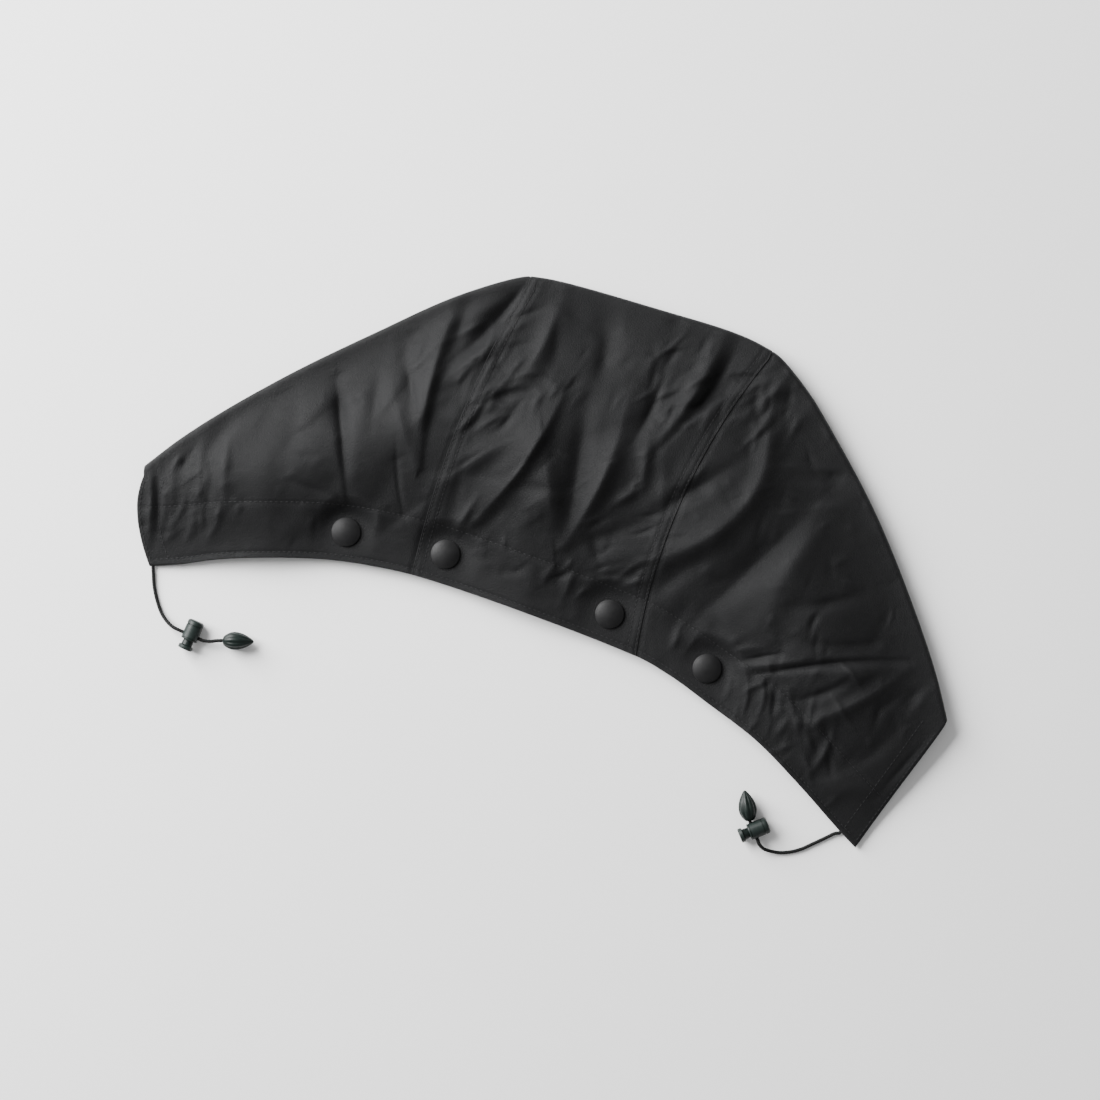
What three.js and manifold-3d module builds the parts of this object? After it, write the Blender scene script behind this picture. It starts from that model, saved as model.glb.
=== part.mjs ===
// Detachable jacket hood of waxed cotton, laid flat with its face opening underneath.
//
// Units are millimetres and +Z is up. +X runs from the hood's left end to its right end, and +Y
// from the neck edge to the crown. The origin is on the floor, under the middle of the outline.
//
// The cloth is one sheet in three panels. It starts at the neck edge, rises over the hollow,
// turns under at the crown fold and comes back along the floor to the face edge, whose turned-in
// casing holds the drawcord. Every piece that lies on the cloth is placed by the same functions.

import * as THREE from 'three';
import * as BufferGeometryUtils from 'three/addons/utils/BufferGeometryUtils.js';
import Module from 'manifold-3d';

const manifold = await Module();
manifold.setup();

// Driving dimensions of the cloth
const hoodWidth = 503;
const hoodDepth = 261;
const hoodLoft = 16;
const foldRadius = 5.5;
const clothWall = 1.4;
const casingWall = 3.2;
const casingWidth = 14;
const casingRamp = 3;
const bandWidth = 33;
const bandWall = 1.0;
const gap = 0.3;

// Driving dimensions of the wrinkles
const wrinkleHeight = 5.5;
const wrinkleWidth = 9;
const wrinkleFade = 14;
const wrinkledFullness = 0.33;

// Driving dimensions of the snaps
const snapInset = 17.4;
const capDiameter = 17.4;
const capHeight = 3.0;
const capRim = 0.8;
const postDiameter = 3.6;
const socketDiameter = 12.6;
const socketHeight = 4.5;
const socketBore = 7.6;
const socketBoreDepth = 3.0;
const seatRadius = 18;
const seatBlend = 14;

// Driving dimensions of the drawcord and what is on it
const cordDiameter = 2.2;
const floorClearance = 0.1;
const leftExitInset = 2.0;
const rightExitInset = 13;
const barrelDiameter = 10;
const barrelLength = 12.4;
const barrelWall = 1.4;
const barrelFloor = 1.4;
const cordHoleInset = 3.1;
const plungerTravel = 3.0;
const plungerReach = 4.4;
const plungerNeck = 3.6;
const flangeDiameter = 8.8;
const flangeThickness = 2.4;
const cordEndDiameter = 11;
const cordEndLength = 18.4;

const halfWidth = hoodWidth / 2;
const halfDepth = hoodDepth / 2;

// Stations across the hood. Each row is one line of the cloth, from the neck edge over the crown
// fold to the face edge. "at" is its place, from 0 at the left end to 1 at the right end. The X
// and Y columns are shares of half the hood's width and depth. "bow" is how far the line bows
// towards +X, as a share of half the width, "loft" how high it arches, as a share of the hood's
// loft, and "lift" how high its neck edge is: 0 flat on the floor, 1 level with the snaps, and
// more where the edge arches up between them.
const stations = [
  { at: 0.00, neckX: -0.900, neckY: -1.000, crownX: -1.000, crownY: -0.585, faceX: -0.972, faceY: -0.65,
    bow: -0.024, loft: 0.00, lift: 0.00 },
  { at: 0.06, neckX: -0.834, neckY: -0.940, crownX: -0.948, crownY: -0.415, faceX: -0.900, faceY: -0.58,
    bow: -0.020, loft: 0.20, lift: 0.25 },
  { at: 0.13, neckX: -0.761, neckY: -0.860, crownX: -0.876, crownY: -0.218, faceX: -0.800, faceY: -0.53,
    bow: -0.014, loft: 0.42, lift: 1.10 },
  { at: 0.21, neckX: -0.646, neckY: -0.760, crownX: -0.760, crownY: 0.060, faceX: -0.670, faceY: -0.48,
    bow: -0.010, loft: 0.66, lift: 1.75 },
  { at: 0.29, neckX: -0.498, neckY: -0.657, crownX: -0.600, crownY: 0.400, faceX: -0.525, faceY: -0.43,
    bow: -0.014, loft: 0.86, lift: 1.00 },
  { at: 0.34, neckX: -0.400, neckY: -0.612, crownX: -0.450, crownY: 0.698, faceX: -0.420, faceY: -0.40,
    bow: -0.022, loft: 0.96, lift: 1.00 },
  { at: 0.37, neckX: -0.313, neckY: -0.584, crownX: -0.315, crownY: 0.890, faceX: -0.335, faceY: -0.37,
    bow: -0.028, loft: 1.00, lift: 1.00 },
  { at: 0.41, neckX: -0.231, neckY: -0.570, crownX: -0.241, crownY: 0.920, faceX: -0.250, faceY: -0.34,
    bow: -0.032, loft: 1.00, lift: 1.00 },
  { at: 0.50, neckX: -0.042, neckY: -0.552, crownX: -0.020, crownY: 0.966, faceX: -0.030, faceY: -0.31,
    bow: -0.042, loft: 1.00, lift: 1.80 },
  { at: 0.59, neckX: 0.163, neckY: -0.544, crownX: 0.203, crownY: 1.000, faceX: 0.175, faceY: -0.29,
    bow: -0.052, loft: 1.00, lift: 1.00 },
  { at: 0.63, neckX: 0.255, neckY: -0.545, crownX: 0.284, crownY: 0.986, faceX: 0.262, faceY: -0.285,
    bow: -0.054, loft: 1.00, lift: 1.00 },
  { at: 0.67, neckX: 0.340, neckY: -0.567, crownX: 0.372, crownY: 0.908, faceX: 0.345, faceY: -0.28,
    bow: -0.044, loft: 0.97, lift: 1.00 },
  { at: 0.73, neckX: 0.458, neckY: -0.624, crownX: 0.512, crownY: 0.710, faceX: 0.470, faceY: -0.275,
    bow: -0.024, loft: 0.92, lift: 1.00 },
  { at: 0.80, neckX: 0.585, neckY: -0.691, crownX: 0.661, crownY: 0.465, faceX: 0.610, faceY: -0.27,
    bow: -0.012, loft: 0.78, lift: 1.75 },
  { at: 0.88, neckX: 0.734, neckY: -0.817, crownX: 0.820, crownY: 0.148, faceX: 0.755, faceY: -0.275,
    bow: -0.006, loft: 0.52, lift: 1.20 },
  { at: 0.95, neckX: 0.848, neckY: -0.927, crownX: 0.933, crownY: -0.107, faceX: 0.875, faceY: -0.29,
    bow: -0.002, loft: 0.22, lift: 0.40 },
  { at: 1.00, neckX: 0.911, neckY: -0.984, crownX: 1.000, crownY: -0.287, faceX: 0.965, faceY: -0.36,
    bow: 0.000, loft: 0.00, lift: 0.00 },
];

// Main wrinkles of the back. Each row runs from one place to another, in shares of half the
// hood's width and depth. "rise" is a share of the wrinkle height, above 0 for a ridge and below
// 0 for a valley, and "wide" is a share of the wrinkle width.
const wrinkles = [
  { fromX: -0.65, fromY: 0.12, toX: -0.52, toY: -0.38, rise: -0.9, wide: 0.9 },
  { fromX: -0.70, fromY: 0.10, toX: -0.60, toY: -0.25, rise: 0.6, wide: 1.0 },
  { fromX: -0.52, fromY: 0.23, toX: -0.43, toY: 0.04, rise: 0.6, wide: 0.8 },
  { fromX: -0.46, fromY: 0.64, toX: -0.43, toY: 0.07, rise: 1.0, wide: 0.9 },
  { fromX: -0.42, fromY: 0.28, toX: -0.40, toY: -0.08, rise: -0.8, wide: 0.7 },
  { fromX: -0.32, fromY: 0.85, toX: -0.42, toY: 0.38, rise: -1.1, wide: 0.9 },
  { fromX: -0.24, fromY: 0.90, toX: -0.25, toY: 0.37, rise: 1.0, wide: 0.8 },
  { fromX: -0.22, fromY: 0.41, toX: -0.32, toY: 0.26, rise: -0.6, wide: 0.7 },
  { fromX: -0.13, fromY: 0.45, toX: -0.24, toY: -0.28, rise: -1.2, wide: 0.8 },
  { fromX: -0.18, fromY: 0.37, toX: -0.33, toY: -0.17, rise: 0.9, wide: 1.0 },
  { fromX: -0.16, fromY: 0.89, toX: -0.03, toY: -0.09, rise: -0.8, wide: 1.7 },
  { fromX: -0.14, fromY: 0.15, toX: -0.11, toY: -0.13, rise: 0.5, wide: 1.1 },
  { fromX: 0.00, fromY: 0.74, toX: -0.01, toY: -0.18, rise: 1.0, wide: 0.9 },
  { fromX: 0.07, fromY: 0.65, toX: 0.06, toY: 0.36, rise: -0.6, wide: 0.6 },
  { fromX: 0.15, fromY: 0.97, toX: 0.10, toY: 0.31, rise: 1.0, wide: 0.8 },
  { fromX: 0.10, fromY: 0.35, toX: 0.07, toY: 0.06, rise: 0.7, wide: 0.8 },
  { fromX: 0.20, fromY: 0.97, toX: 0.11, toY: 0.38, rise: -1.2, wide: 1.0 },
  { fromX: 0.21, fromY: 0.71, toX: 0.14, toY: 0.38, rise: 0.7, wide: 0.8 },
  { fromX: 0.29, fromY: 0.48, toX: 0.14, toY: 0.04, rise: -0.7, wide: 0.9 },
  { fromX: 0.31, fromY: 0.76, toX: 0.35, toY: 0.30, rise: 0.8, wide: 0.8 },
  { fromX: 0.35, fromY: 0.30, toX: 0.14, toY: -0.15, rise: 0.8, wide: 1.0 },
  { fromX: 0.51, fromY: 0.34, toX: 0.35, toY: -0.32, rise: -1.2, wide: 1.1 },
  { fromX: 0.41, fromY: 0.23, toX: 0.24, toY: -0.13, rise: -0.8, wide: 1.3 },
  { fromX: 0.53, fromY: 0.30, toX: 0.44, toY: -0.28, rise: 0.6, wide: 1.1 },
  { fromX: 0.54, fromY: -0.41, toX: 0.82, toY: -0.14, rise: -0.6, wide: 0.6 },
  { fromX: 0.64, fromY: -0.60, toX: 0.74, toY: -0.31, rise: 0.4, wide: 0.7 },
  { fromX: -0.83, fromY: -0.34, toX: -0.80, toY: -0.54, rise: 0.3, wide: 0.7 },
];

// Outline of a cord end, from the cord to its tip: shares of its length and of its half width.
const cordEndShape = [
  { along: 0.00, wide: 0.46 },
  { along: 0.04, wide: 0.60 },
  { along: 0.16, wide: 0.86 },
  { along: 0.36, wide: 1.00 },
  { along: 0.56, wide: 0.94 },
  { along: 0.76, wide: 0.74 },
  { along: 0.92, wide: 0.46 },
  { along: 1.00, wide: 0.30 },
];

// Places of the seams and of the snaps along the hood
const leftSeamAt = 0.37;
const rightSeamAt = 0.63;
const snapsAt = [0.301, 0.403, 0.594, 0.714];

// Numbers of facets. The cloth's columns run across the hood and its rows from the neck edge on.
const sideColumns = 15;
const centreColumns = 13;
const bandRows = 4;
const backRows = 14;
const turnRows = 5;
const underRows = 6;

// The points of each free cord end, from where it leaves the casing to its cord end, measured
// from that exit. Three of them in a row pass straight through the cord lock, at its height.
const onFloor = cordDiameter / 2 + floorClearance;
const inCasing = casingWall / 2;
const inLock = barrelDiameter / 2;
const inCordEnd = cordEndDiameter / 2;
const leftRoute = [
  [0, 0, inCasing],
  [1.6, -3.4, onFloor + 0.2],
  [4.6, -9.8, onFloor],
  [10.2, -18.2, onFloor],
  [15.6, -24.0, onFloor + 0.5],
  [20.4, -27.0, onFloor + 2.0],
  [24.4, -28.5, inLock - 0.6],
  [27.6, -28.9, inLock],
  [30.6, -29.0, inLock],
  [36.6, -29.2, inLock],
  [42.6, -29.4, inLock],
  [44.6, -29.4, inLock],
  [48.6, -28.3, inLock + 0.2],
  [52.4, -26.3, inCordEnd - 0.1],
  [55.5, -25.0, inCordEnd],
];
const rightRoute = [
  [0, 0, inCasing],
  [-2.6, -1.6, onFloor + 0.2],
  [-7.0, -6.4, onFloor],
  [-12.6, -12.4, onFloor],
  [-18.0, -18.0, onFloor],
  [-23.4, -22.0, onFloor],
  [-29.0, -24.6, onFloor + 0.3],
  [-34.4, -25.8, onFloor + 1.4],
  [-39.2, -25.9, inLock - 0.9],
  [-42.4, -24.4, inLock],
  [-44.5, -22.2, inLock],
  [-48.7, -17.9, inLock],
  [-52.9, -13.6, inLock],
];
const leftCrossing = 9;
const rightCrossing = 11;
const leftCordEndAngle = 20;
const rightCordEndAngle = 122;
const cordSteps = 26;
const cordSides = 8;
const roundSides = 16;
const holeSides = 12;

// Slope of a stations column at one of its rows, so that the curve never swings past the rows.
function columnSlope(name, row) {
  const before = row > 0 ? columnRise(name, row - 1) : columnRise(name, row);
  const after = row < stations.length - 1 ? columnRise(name, row) : before;
  if (before * after <= 0) return 0;
  return (2 * before * after) / (before + after);
}

// Change of a stations column from one row to the next, for each unit of "at".
function columnRise(name, row) {
  const here = stations[row];
  const next = stations[row + 1];
  return (next[name] - here[name]) / (next.at - here.at);
}

// Value of a stations column anywhere along the hood, on a cubic through its rows.
function column(name, at) {
  let row = 0;
  while (row < stations.length - 2 && at > stations[row + 1].at) row += 1;
  const here = stations[row];
  const next = stations[row + 1];
  const span = next.at - here.at;
  const t = (at - here.at) / span;
  const rise = next[name] - here[name];
  const start = columnSlope(name, row) * span;
  const end = columnSlope(name, row + 1) * span;
  return here[name] + start * t + (3 * rise - 2 * start - end) * t ** 2 + (start + end - 2 * rise) * t ** 3;
}

// One line of the cloth: where it starts, where it turns under and where it ends.
function line(at) {
  const neck = new THREE.Vector2(column('neckX', at) * halfWidth, column('neckY', at) * halfDepth);
  const crown = new THREE.Vector2(column('crownX', at) * halfWidth, column('crownY', at) * halfDepth);
  const face = new THREE.Vector2(column('faceX', at) * halfWidth, column('faceY', at) * halfDepth);
  const along = crown.clone().sub(neck).normalize();
  const turn = crown.clone().addScaledVector(along, -foldRadius);
  return {
    neck,
    turn,
    face,
    along,
    back: turn.distanceTo(neck),
    under: turn.distanceTo(face),
    bow: column('bow', at) * halfWidth,
    fullness: column('loft', at),
    lift: THREE.MathUtils.lerp(casingWall, seatHeight, column('lift', at)),
  };
}

// Height of the cloth's outer face where a snap sits: the socket stands on the floor, under the
// neck band and the panel.
const seatHeight = socketHeight + gap + bandWall + gap + clothWall;

function smooth(t) {
  return THREE.MathUtils.smoothstep(t, 0, 1);
}

// Height that the wrinkles add at a place. Across a wrinkle it is a bell curve, and along it the
// wrinkle swells from both ends.
function wrinkleRise(x, y) {
  let height = 0;
  for (const fold of wrinkles) {
    const from = new THREE.Vector2(fold.fromX * halfWidth, fold.fromY * halfDepth);
    const run = new THREE.Vector2(fold.toX * halfWidth, fold.toY * halfDepth).sub(from);
    const place = new THREE.Vector2(x, y).sub(from);
    const share = THREE.MathUtils.clamp(place.dot(run) / run.lengthSq(), 0, 1);
    const aside = place.addScaledVector(run, -share).length() / (fold.wide * wrinkleWidth);
    const swell = Math.sqrt(Math.sin(Math.PI * share));
    height += fold.rise * wrinkleHeight * swell * Math.exp(-aside * aside);
  }
  return height;
}

// A place on the back of the hood, at a distance from the neck edge along one line. The outer
// face rises from the neck edge to the crown fold, with an arch and the wrinkles on top, and is
// level round each snap. The wrinkles die out at the band, the fold and the hood's flat ends.
function backPlace(place, distance) {
  const share = distance / place.back;
  const x = THREE.MathUtils.lerp(place.neck.x, place.turn.x, share) + place.bow * 4 * share * (1 - share);
  const y = THREE.MathUtils.lerp(place.neck.y, place.turn.y, share);
  const slope = THREE.MathUtils.lerp(place.lift, 2 * foldRadius, smooth(share));
  const arch = place.fullness * hoodLoft * Math.sin(Math.PI * share) ** 2;
  const byEdges = smooth(distance / bandWidth) * smooth((place.back - distance) / wrinkleFade);
  const byEnds = smooth(place.fullness / wrinkledFullness);
  let height = slope + arch + wrinkleRise(x, y) * byEdges * byEnds;
  for (const snap of snapPlaces) {
    const near = 1 - smooth((Math.hypot(x - snap.x, y - snap.y) - seatRadius) / seatBlend);
    height = THREE.MathUtils.lerp(height, seatHeight, near);
  }
  return new THREE.Vector3(x, y, height);
}

// Centres of the snaps in plan, at their inset from the neck edge.
const snapPlaces = [];
for (const at of snapsAt) {
  const place = line(at);
  const share = snapInset / place.back;
  const x = THREE.MathUtils.lerp(place.neck.x, place.turn.x, share) + place.bow * 4 * share * (1 - share);
  const y = THREE.MathUtils.lerp(place.neck.y, place.turn.y, share);
  snapPlaces.push(new THREE.Vector2(x, y));
}

// Rows of the cloth. "back" rows lie between the neck edge and the crown fold, "turn" rows go
// round the fold, and "under" rows lie on the floor.
const clothRows = [];
for (let i = 0; i <= bandRows; i += 1) clothRows.push({ zone: 'band', share: i / bandRows, casing: false });
for (let i = 1; i <= backRows; i += 1) clothRows.push({ zone: 'back', share: i / backRows, casing: false });
for (let i = 1; i <= turnRows; i += 1) clothRows.push({ zone: 'turn', share: i / turnRows, casing: false });
for (let i = 1; i <= underRows; i += 1) clothRows.push({ zone: 'under', share: i / underRows, casing: false });
clothRows.push({ zone: 'casing', share: 0, casing: true });
clothRows.push({ zone: 'casing', share: 1, casing: true });
const neckBandRows = clothRows.slice(0, bandRows + 1);

// The point of the cloth on one line and row, at a depth below the outer face.
function clothPoint(place, row, depth) {
  if (row.zone === 'band') {
    const point = backPlace(place, row.share * bandWidth);
    point.z -= depth;
    return point;
  }
  if (row.zone === 'back') {
    const point = backPlace(place, THREE.MathUtils.lerp(bandWidth, place.back, row.share));
    point.z -= depth;
    return point;
  }
  if (row.zone === 'turn') {
    const angle = Math.PI * (0.5 - row.share);
    const radius = foldRadius - depth;
    const reach = place.turn.clone().addScaledVector(place.along, radius * Math.cos(angle));
    return new THREE.Vector3(reach.x, reach.y, foldRadius + radius * Math.sin(angle));
  }
  // Where little cloth is turned under, the casing and its ramp narrow to shares of it.
  const casing = Math.min(casingWidth, 0.5 * place.under);
  const ramp = Math.min(casingRamp, 0.2 * place.under);
  const start = row.zone === 'under' ? 0 : place.under - casing;
  const end = row.zone === 'under' ? place.under - casing - ramp : place.under;
  const share = THREE.MathUtils.lerp(start, end, row.share) / place.under;
  const floor = place.turn.clone().lerp(place.face, share);
  return new THREE.Vector3(floor.x, floor.y, depth);
}

// Share of the hood's length that a distance along the neck edge takes at one place.
function shareOf(distance, at) {
  const step = 0.01;
  const from = Math.max(at - step, 0);
  const to = Math.min(at + step, 1);
  return (distance * (to - from)) / line(to).neck.distanceTo(line(from).neck);
}

// Columns between two places, evenly spread.
function evenColumns(from, to, count) {
  const columns = [];
  for (let i = 0; i <= count; i += 1) columns.push({ at: from + ((to - from) * i) / count, casing: false });
  return columns;
}

const leftCasingAt = shareOf(casingWidth, 0);
const leftRampAt = leftCasingAt + shareOf(casingRamp, 0);
const rightCasingAt = 1 - shareOf(casingWidth, 1);
const rightRampAt = rightCasingAt - shareOf(casingRamp, 1);
const leftSeamHalf = shareOf(gap, leftSeamAt) / 2;
const rightSeamHalf = shareOf(gap, rightSeamAt) / 2;

const leftColumns = evenColumns(leftRampAt, leftSeamAt - leftSeamHalf, sideColumns);
const centreColumnList = evenColumns(leftSeamAt + leftSeamHalf, rightSeamAt - rightSeamHalf, centreColumns);
const rightColumns = evenColumns(rightSeamAt + rightSeamHalf, rightRampAt, sideColumns);
const neckBandColumns = [...leftColumns, ...centreColumnList, ...rightColumns];
const leftPanelColumns = [{ at: 0, casing: true }, { at: leftCasingAt, casing: true }, ...leftColumns];
const rightPanelColumns = [...rightColumns, { at: rightCasingAt, casing: true }, { at: 1, casing: true }];

// A closed wall over a grid of columns and rows, between two depths below the outer face. The
// depths may differ from place to place.
function wall(columns, rows, outerDepth, innerDepth) {
  const positions = [];
  const across = columns.length;
  const up = rows.length;
  for (const depthOf of [outerDepth, innerDepth]) {
    for (const row of rows) {
      for (const each of columns) {
        positions.push(...clothPoint(line(each.at), row, depthOf(each, row)).toArray());
      }
    }
  }
  const outer = (i, j) => j * across + i;
  const inner = (i, j) => across * up + j * across + i;
  const index = [];
  const quad = (a, b, c, d) => index.push(a, b, c, a, c, d);
  for (let j = 0; j < up - 1; j += 1) {
    for (let i = 0; i < across - 1; i += 1) {
      quad(outer(i, j), outer(i + 1, j), outer(i + 1, j + 1), outer(i, j + 1));
      index.push(inner(i, j), inner(i + 1, j + 1), inner(i + 1, j));
      index.push(inner(i, j), inner(i, j + 1), inner(i + 1, j + 1));
    }
    quad(outer(0, j), outer(0, j + 1), inner(0, j + 1), inner(0, j));
    quad(outer(across - 1, j), inner(across - 1, j), inner(across - 1, j + 1), outer(across - 1, j + 1));
  }
  for (let i = 0; i < across - 1; i += 1) {
    quad(outer(i, 0), inner(i, 0), inner(i + 1, 0), outer(i + 1, 0));
    quad(outer(i, up - 1), outer(i + 1, up - 1), inner(i + 1, up - 1), inner(i, up - 1));
  }
  const geometry = new THREE.BufferGeometry();
  geometry.setAttribute('position', new THREE.Float32BufferAttribute(positions, 3));
  geometry.setIndex(index);
  return geometry;
}

// Turns a closed geometry into a solid that can be cut. Corners nearer than this are one.
const weldDistance = 1e-4;
function toSolid(geometry) {
  const bare = geometry.clone();
  bare.deleteAttribute('normal');
  bare.deleteAttribute('uv');
  const merged = BufferGeometryUtils.mergeVertices(bare, weldDistance);
  return new manifold.Manifold(new manifold.Mesh({
    numProp: 3,
    vertProperties: new Float32Array(merged.attributes.position.array),
    triVerts: new Uint32Array(merged.index.array),
  }));
}

// Turns a cut solid back into a geometry.
function toGeometry(solid) {
  const mesh = solid.getMesh();
  const geometry = new THREE.BufferGeometry();
  geometry.setAttribute('position', new THREE.Float32BufferAttribute(mesh.vertProperties, 3));
  geometry.setIndex(new THREE.BufferAttribute(mesh.triVerts, 1));
  return geometry;
}

// Cuts the holes of the snaps' posts through a wall of cloth.
function withPostHoles(geometry) {
  let solid = toSolid(geometry);
  for (const snap of snapPlaces) {
    const radius = postDiameter / 2 + gap;
    const hole = new THREE.CylinderGeometry(radius, radius, seatHeight, holeSides);
    hole.rotateX(Math.PI / 2);
    hole.translate(snap.x, snap.y, seatHeight);
    solid = solid.subtract(toSolid(hole));
  }
  return toGeometry(solid);
}

const hood = new THREE.Group();

function add(name, geometry, material, parent = hood) {
  const mesh = new THREE.Mesh(geometry, material);
  mesh.name = name;
  parent.add(mesh);
  return mesh;
}

const waxedCotton = new THREE.MeshStandardMaterial({ color: 0x26272a, roughness: 0.6, metalness: 0 });
const facingCotton = new THREE.MeshStandardMaterial({ color: 0x222326, roughness: 0.7, metalness: 0 });
const lacqueredMetal = new THREE.MeshStandardMaterial({ color: 0x35363a, roughness: 0.45, metalness: 0.3 });
const darkMetal = new THREE.MeshStandardMaterial({ color: 0x2c2c2e, roughness: 0.4, metalness: 0.8 });
const cordBlack = new THREE.MeshStandardMaterial({ color: 0x1d1e20, roughness: 0.8, metalness: 0 });
const greenPlastic = new THREE.MeshStandardMaterial({ color: 0x1f2b28, roughness: 0.4, metalness: 0 });

// Panels of cloth
const panelOuter = () => 0;
const panelInner = (each, row) => (each.casing || row.casing ? casingWall : clothWall);
add('left_side_panel', withPostHoles(wall(leftPanelColumns, clothRows, panelOuter, panelInner)), waxedCotton);
add('centre_panel', withPostHoles(wall(centreColumnList, clothRows, panelOuter, panelInner)), waxedCotton);
add('right_side_panel', withPostHoles(wall(rightPanelColumns, clothRows, panelOuter, panelInner)), waxedCotton);

// Facing inside the neck edge
const bandOuter = () => clothWall + gap;
const bandInner = () => clothWall + gap + bandWall;
add('neck_band', withPostHoles(wall(neckBandColumns, neckBandRows, bandOuter, bandInner)), facingCotton);

// A snap's cap: a shallow dome with a rolled rim, on a post that reaches down to the socket.
function capGeometry() {
  const radius = capDiameter / 2;
  const post = postDiameter / 2;
  const postLength = seatHeight - socketHeight;
  const profile = [
    new THREE.Vector2(0, -postLength),
    new THREE.Vector2(post, -postLength),
    new THREE.Vector2(post, 0),
    new THREE.Vector2(radius - capRim / 2, 0),
    new THREE.Vector2(radius, capRim / 2),
    new THREE.Vector2(radius, capRim),
  ];
  const domeSteps = 3;
  for (let i = 1; i <= domeSteps; i += 1) {
    const angle = (Math.PI / 2) * (i / domeSteps);
    const out = i === domeSteps ? 0 : radius * Math.cos(angle);
    profile.push(new THREE.Vector2(out, capRim + (capHeight - capRim) * Math.sin(angle)));
  }
  return new THREE.LatheGeometry(profile, roundSides).rotateX(Math.PI / 2);
}

// A snap's socket: a ring with a flat foot round the bore that the collar's stud goes into.
function socketGeometry() {
  const radius = socketDiameter / 2;
  const bore = socketBore / 2;
  const step = 0.8;
  const profile = [
    new THREE.Vector2(0, socketBoreDepth),
    new THREE.Vector2(bore, socketBoreDepth),
    new THREE.Vector2(bore, 0),
    new THREE.Vector2(radius - step, 0),
    new THREE.Vector2(radius, step),
    new THREE.Vector2(radius, socketHeight - step),
    new THREE.Vector2(radius - step, socketHeight),
    new THREE.Vector2(0, socketHeight),
  ];
  return new THREE.LatheGeometry(profile, roundSides).rotateX(Math.PI / 2);
}

snapPlaces.forEach((snap, i) => {
  const cap = add(`snap_cap_${i + 1}`, capGeometry(), lacqueredMetal);
  cap.position.set(snap.x, snap.y, seatHeight + gap);
  const socket = add(`snap_socket_${i + 1}`, socketGeometry(), darkMetal);
  socket.position.set(snap.x, snap.y, 0);
});

// A cord lock's barrel: a cup with the cord's hole across it. X runs out of its mouth, and the
// cord crosses it along Y at the origin.
function barrelGeometry() {
  const mouth = cordHoleInset;
  const end = mouth - barrelLength;
  const bevel = 0.8;
  const radius = barrelDiameter / 2;
  const bore = radius - barrelWall;
  const profile = [
    new THREE.Vector2(0, end),
    new THREE.Vector2(radius - bevel, end),
    new THREE.Vector2(radius, end + bevel),
    new THREE.Vector2(radius, mouth),
    new THREE.Vector2(bore, mouth),
    new THREE.Vector2(bore, end + barrelFloor),
    new THREE.Vector2(0, end + barrelFloor),
  ];
  const cup = new THREE.LatheGeometry(profile, roundSides).rotateZ(-Math.PI / 2);
  const hole = cordDiameter / 2 + gap;
  const cordHole = new THREE.CylinderGeometry(hole, hole, 2 * barrelDiameter, holeSides);
  return toGeometry(toSolid(cup).subtract(toSolid(cordHole)));
}

// A cord lock's plunger: a stem with a long slot for the cord, and a flange to press.
function plungerGeometry() {
  const stem = barrelDiameter / 2 - barrelWall - gap;
  const flangeAt = cordHoleInset + plungerNeck;
  const bevel = 0.5;
  const flange = flangeDiameter / 2;
  const profile = [
    new THREE.Vector2(0, -plungerReach),
    new THREE.Vector2(stem, -plungerReach),
    new THREE.Vector2(stem, flangeAt),
    new THREE.Vector2(flange, flangeAt),
    new THREE.Vector2(flange, flangeAt + flangeThickness - bevel),
    new THREE.Vector2(flange - bevel, flangeAt + flangeThickness),
    new THREE.Vector2(0, flangeAt + flangeThickness),
  ];
  const body = new THREE.LatheGeometry(profile, roundSides).rotateZ(-Math.PI / 2);
  const hole = cordDiameter / 2 + gap;
  const slot = new THREE.BoxGeometry(plungerTravel + 2 * hole, barrelDiameter, 2 * hole);
  slot.translate(plungerTravel / 2, 0, 0);
  return toGeometry(toSolid(body).subtract(toSolid(slot)));
}

// A cord end: an acorn shape along X, fullest a third of the way from the cord.
function cordEndGeometry() {
  const full = cordEndDiameter / 2;
  const profile = [new THREE.Vector2(0, 0)];
  for (const { along, wide } of cordEndShape) {
    profile.push(new THREE.Vector2(wide * full, along * cordEndLength));
  }
  profile.push(new THREE.Vector2(0, cordEndLength));
  return new THREE.LatheGeometry(profile, roundSides).rotateZ(-Math.PI / 2);
}

// One free end of the drawcord, with its lock and its cord end. The lock's flange points along
// "flangeSide" times the direction a quarter turn from the cord's.
function addCord(side, exit, route, crossing, flangeSide, cordEndAngle) {
  const points = route.map(([x, y, z]) => new THREE.Vector3(exit.x + x, exit.y + y, z));
  const curve = new THREE.CatmullRomCurve3(points);
  const section = new THREE.Shape();
  section.absarc(0, 0, cordDiameter / 2, 0, 2 * Math.PI, false);
  const cord = new THREE.ExtrudeGeometry(section, {
    extrudePath: curve,
    steps: cordSteps,
    curveSegments: cordSides / 2,
    bevelEnabled: false,
  });
  add(`drawcord_${side}`, cord, cordBlack);

  const centre = points[crossing];
  const through = points[crossing + 1].clone().sub(points[crossing - 1]);
  const lock = new THREE.Group();
  lock.position.copy(centre);
  lock.rotation.z = Math.atan2(through.y, through.x) + (flangeSide * Math.PI) / 2;
  hood.add(lock);
  add(`cord_lock_barrel_${side}`, barrelGeometry(), greenPlastic, lock);
  add(`cord_lock_plunger_${side}`, plungerGeometry(), greenPlastic, lock);

  const cordEnd = add(`cord_end_${side}`, cordEndGeometry(), greenPlastic);
  const turn = THREE.MathUtils.degToRad(cordEndAngle);
  const tip = points[points.length - 1];
  cordEnd.position.set(tip.x + gap * Math.cos(turn), tip.y + gap * Math.sin(turn), inCordEnd);
  cordEnd.rotation.z = turn;
}

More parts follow.
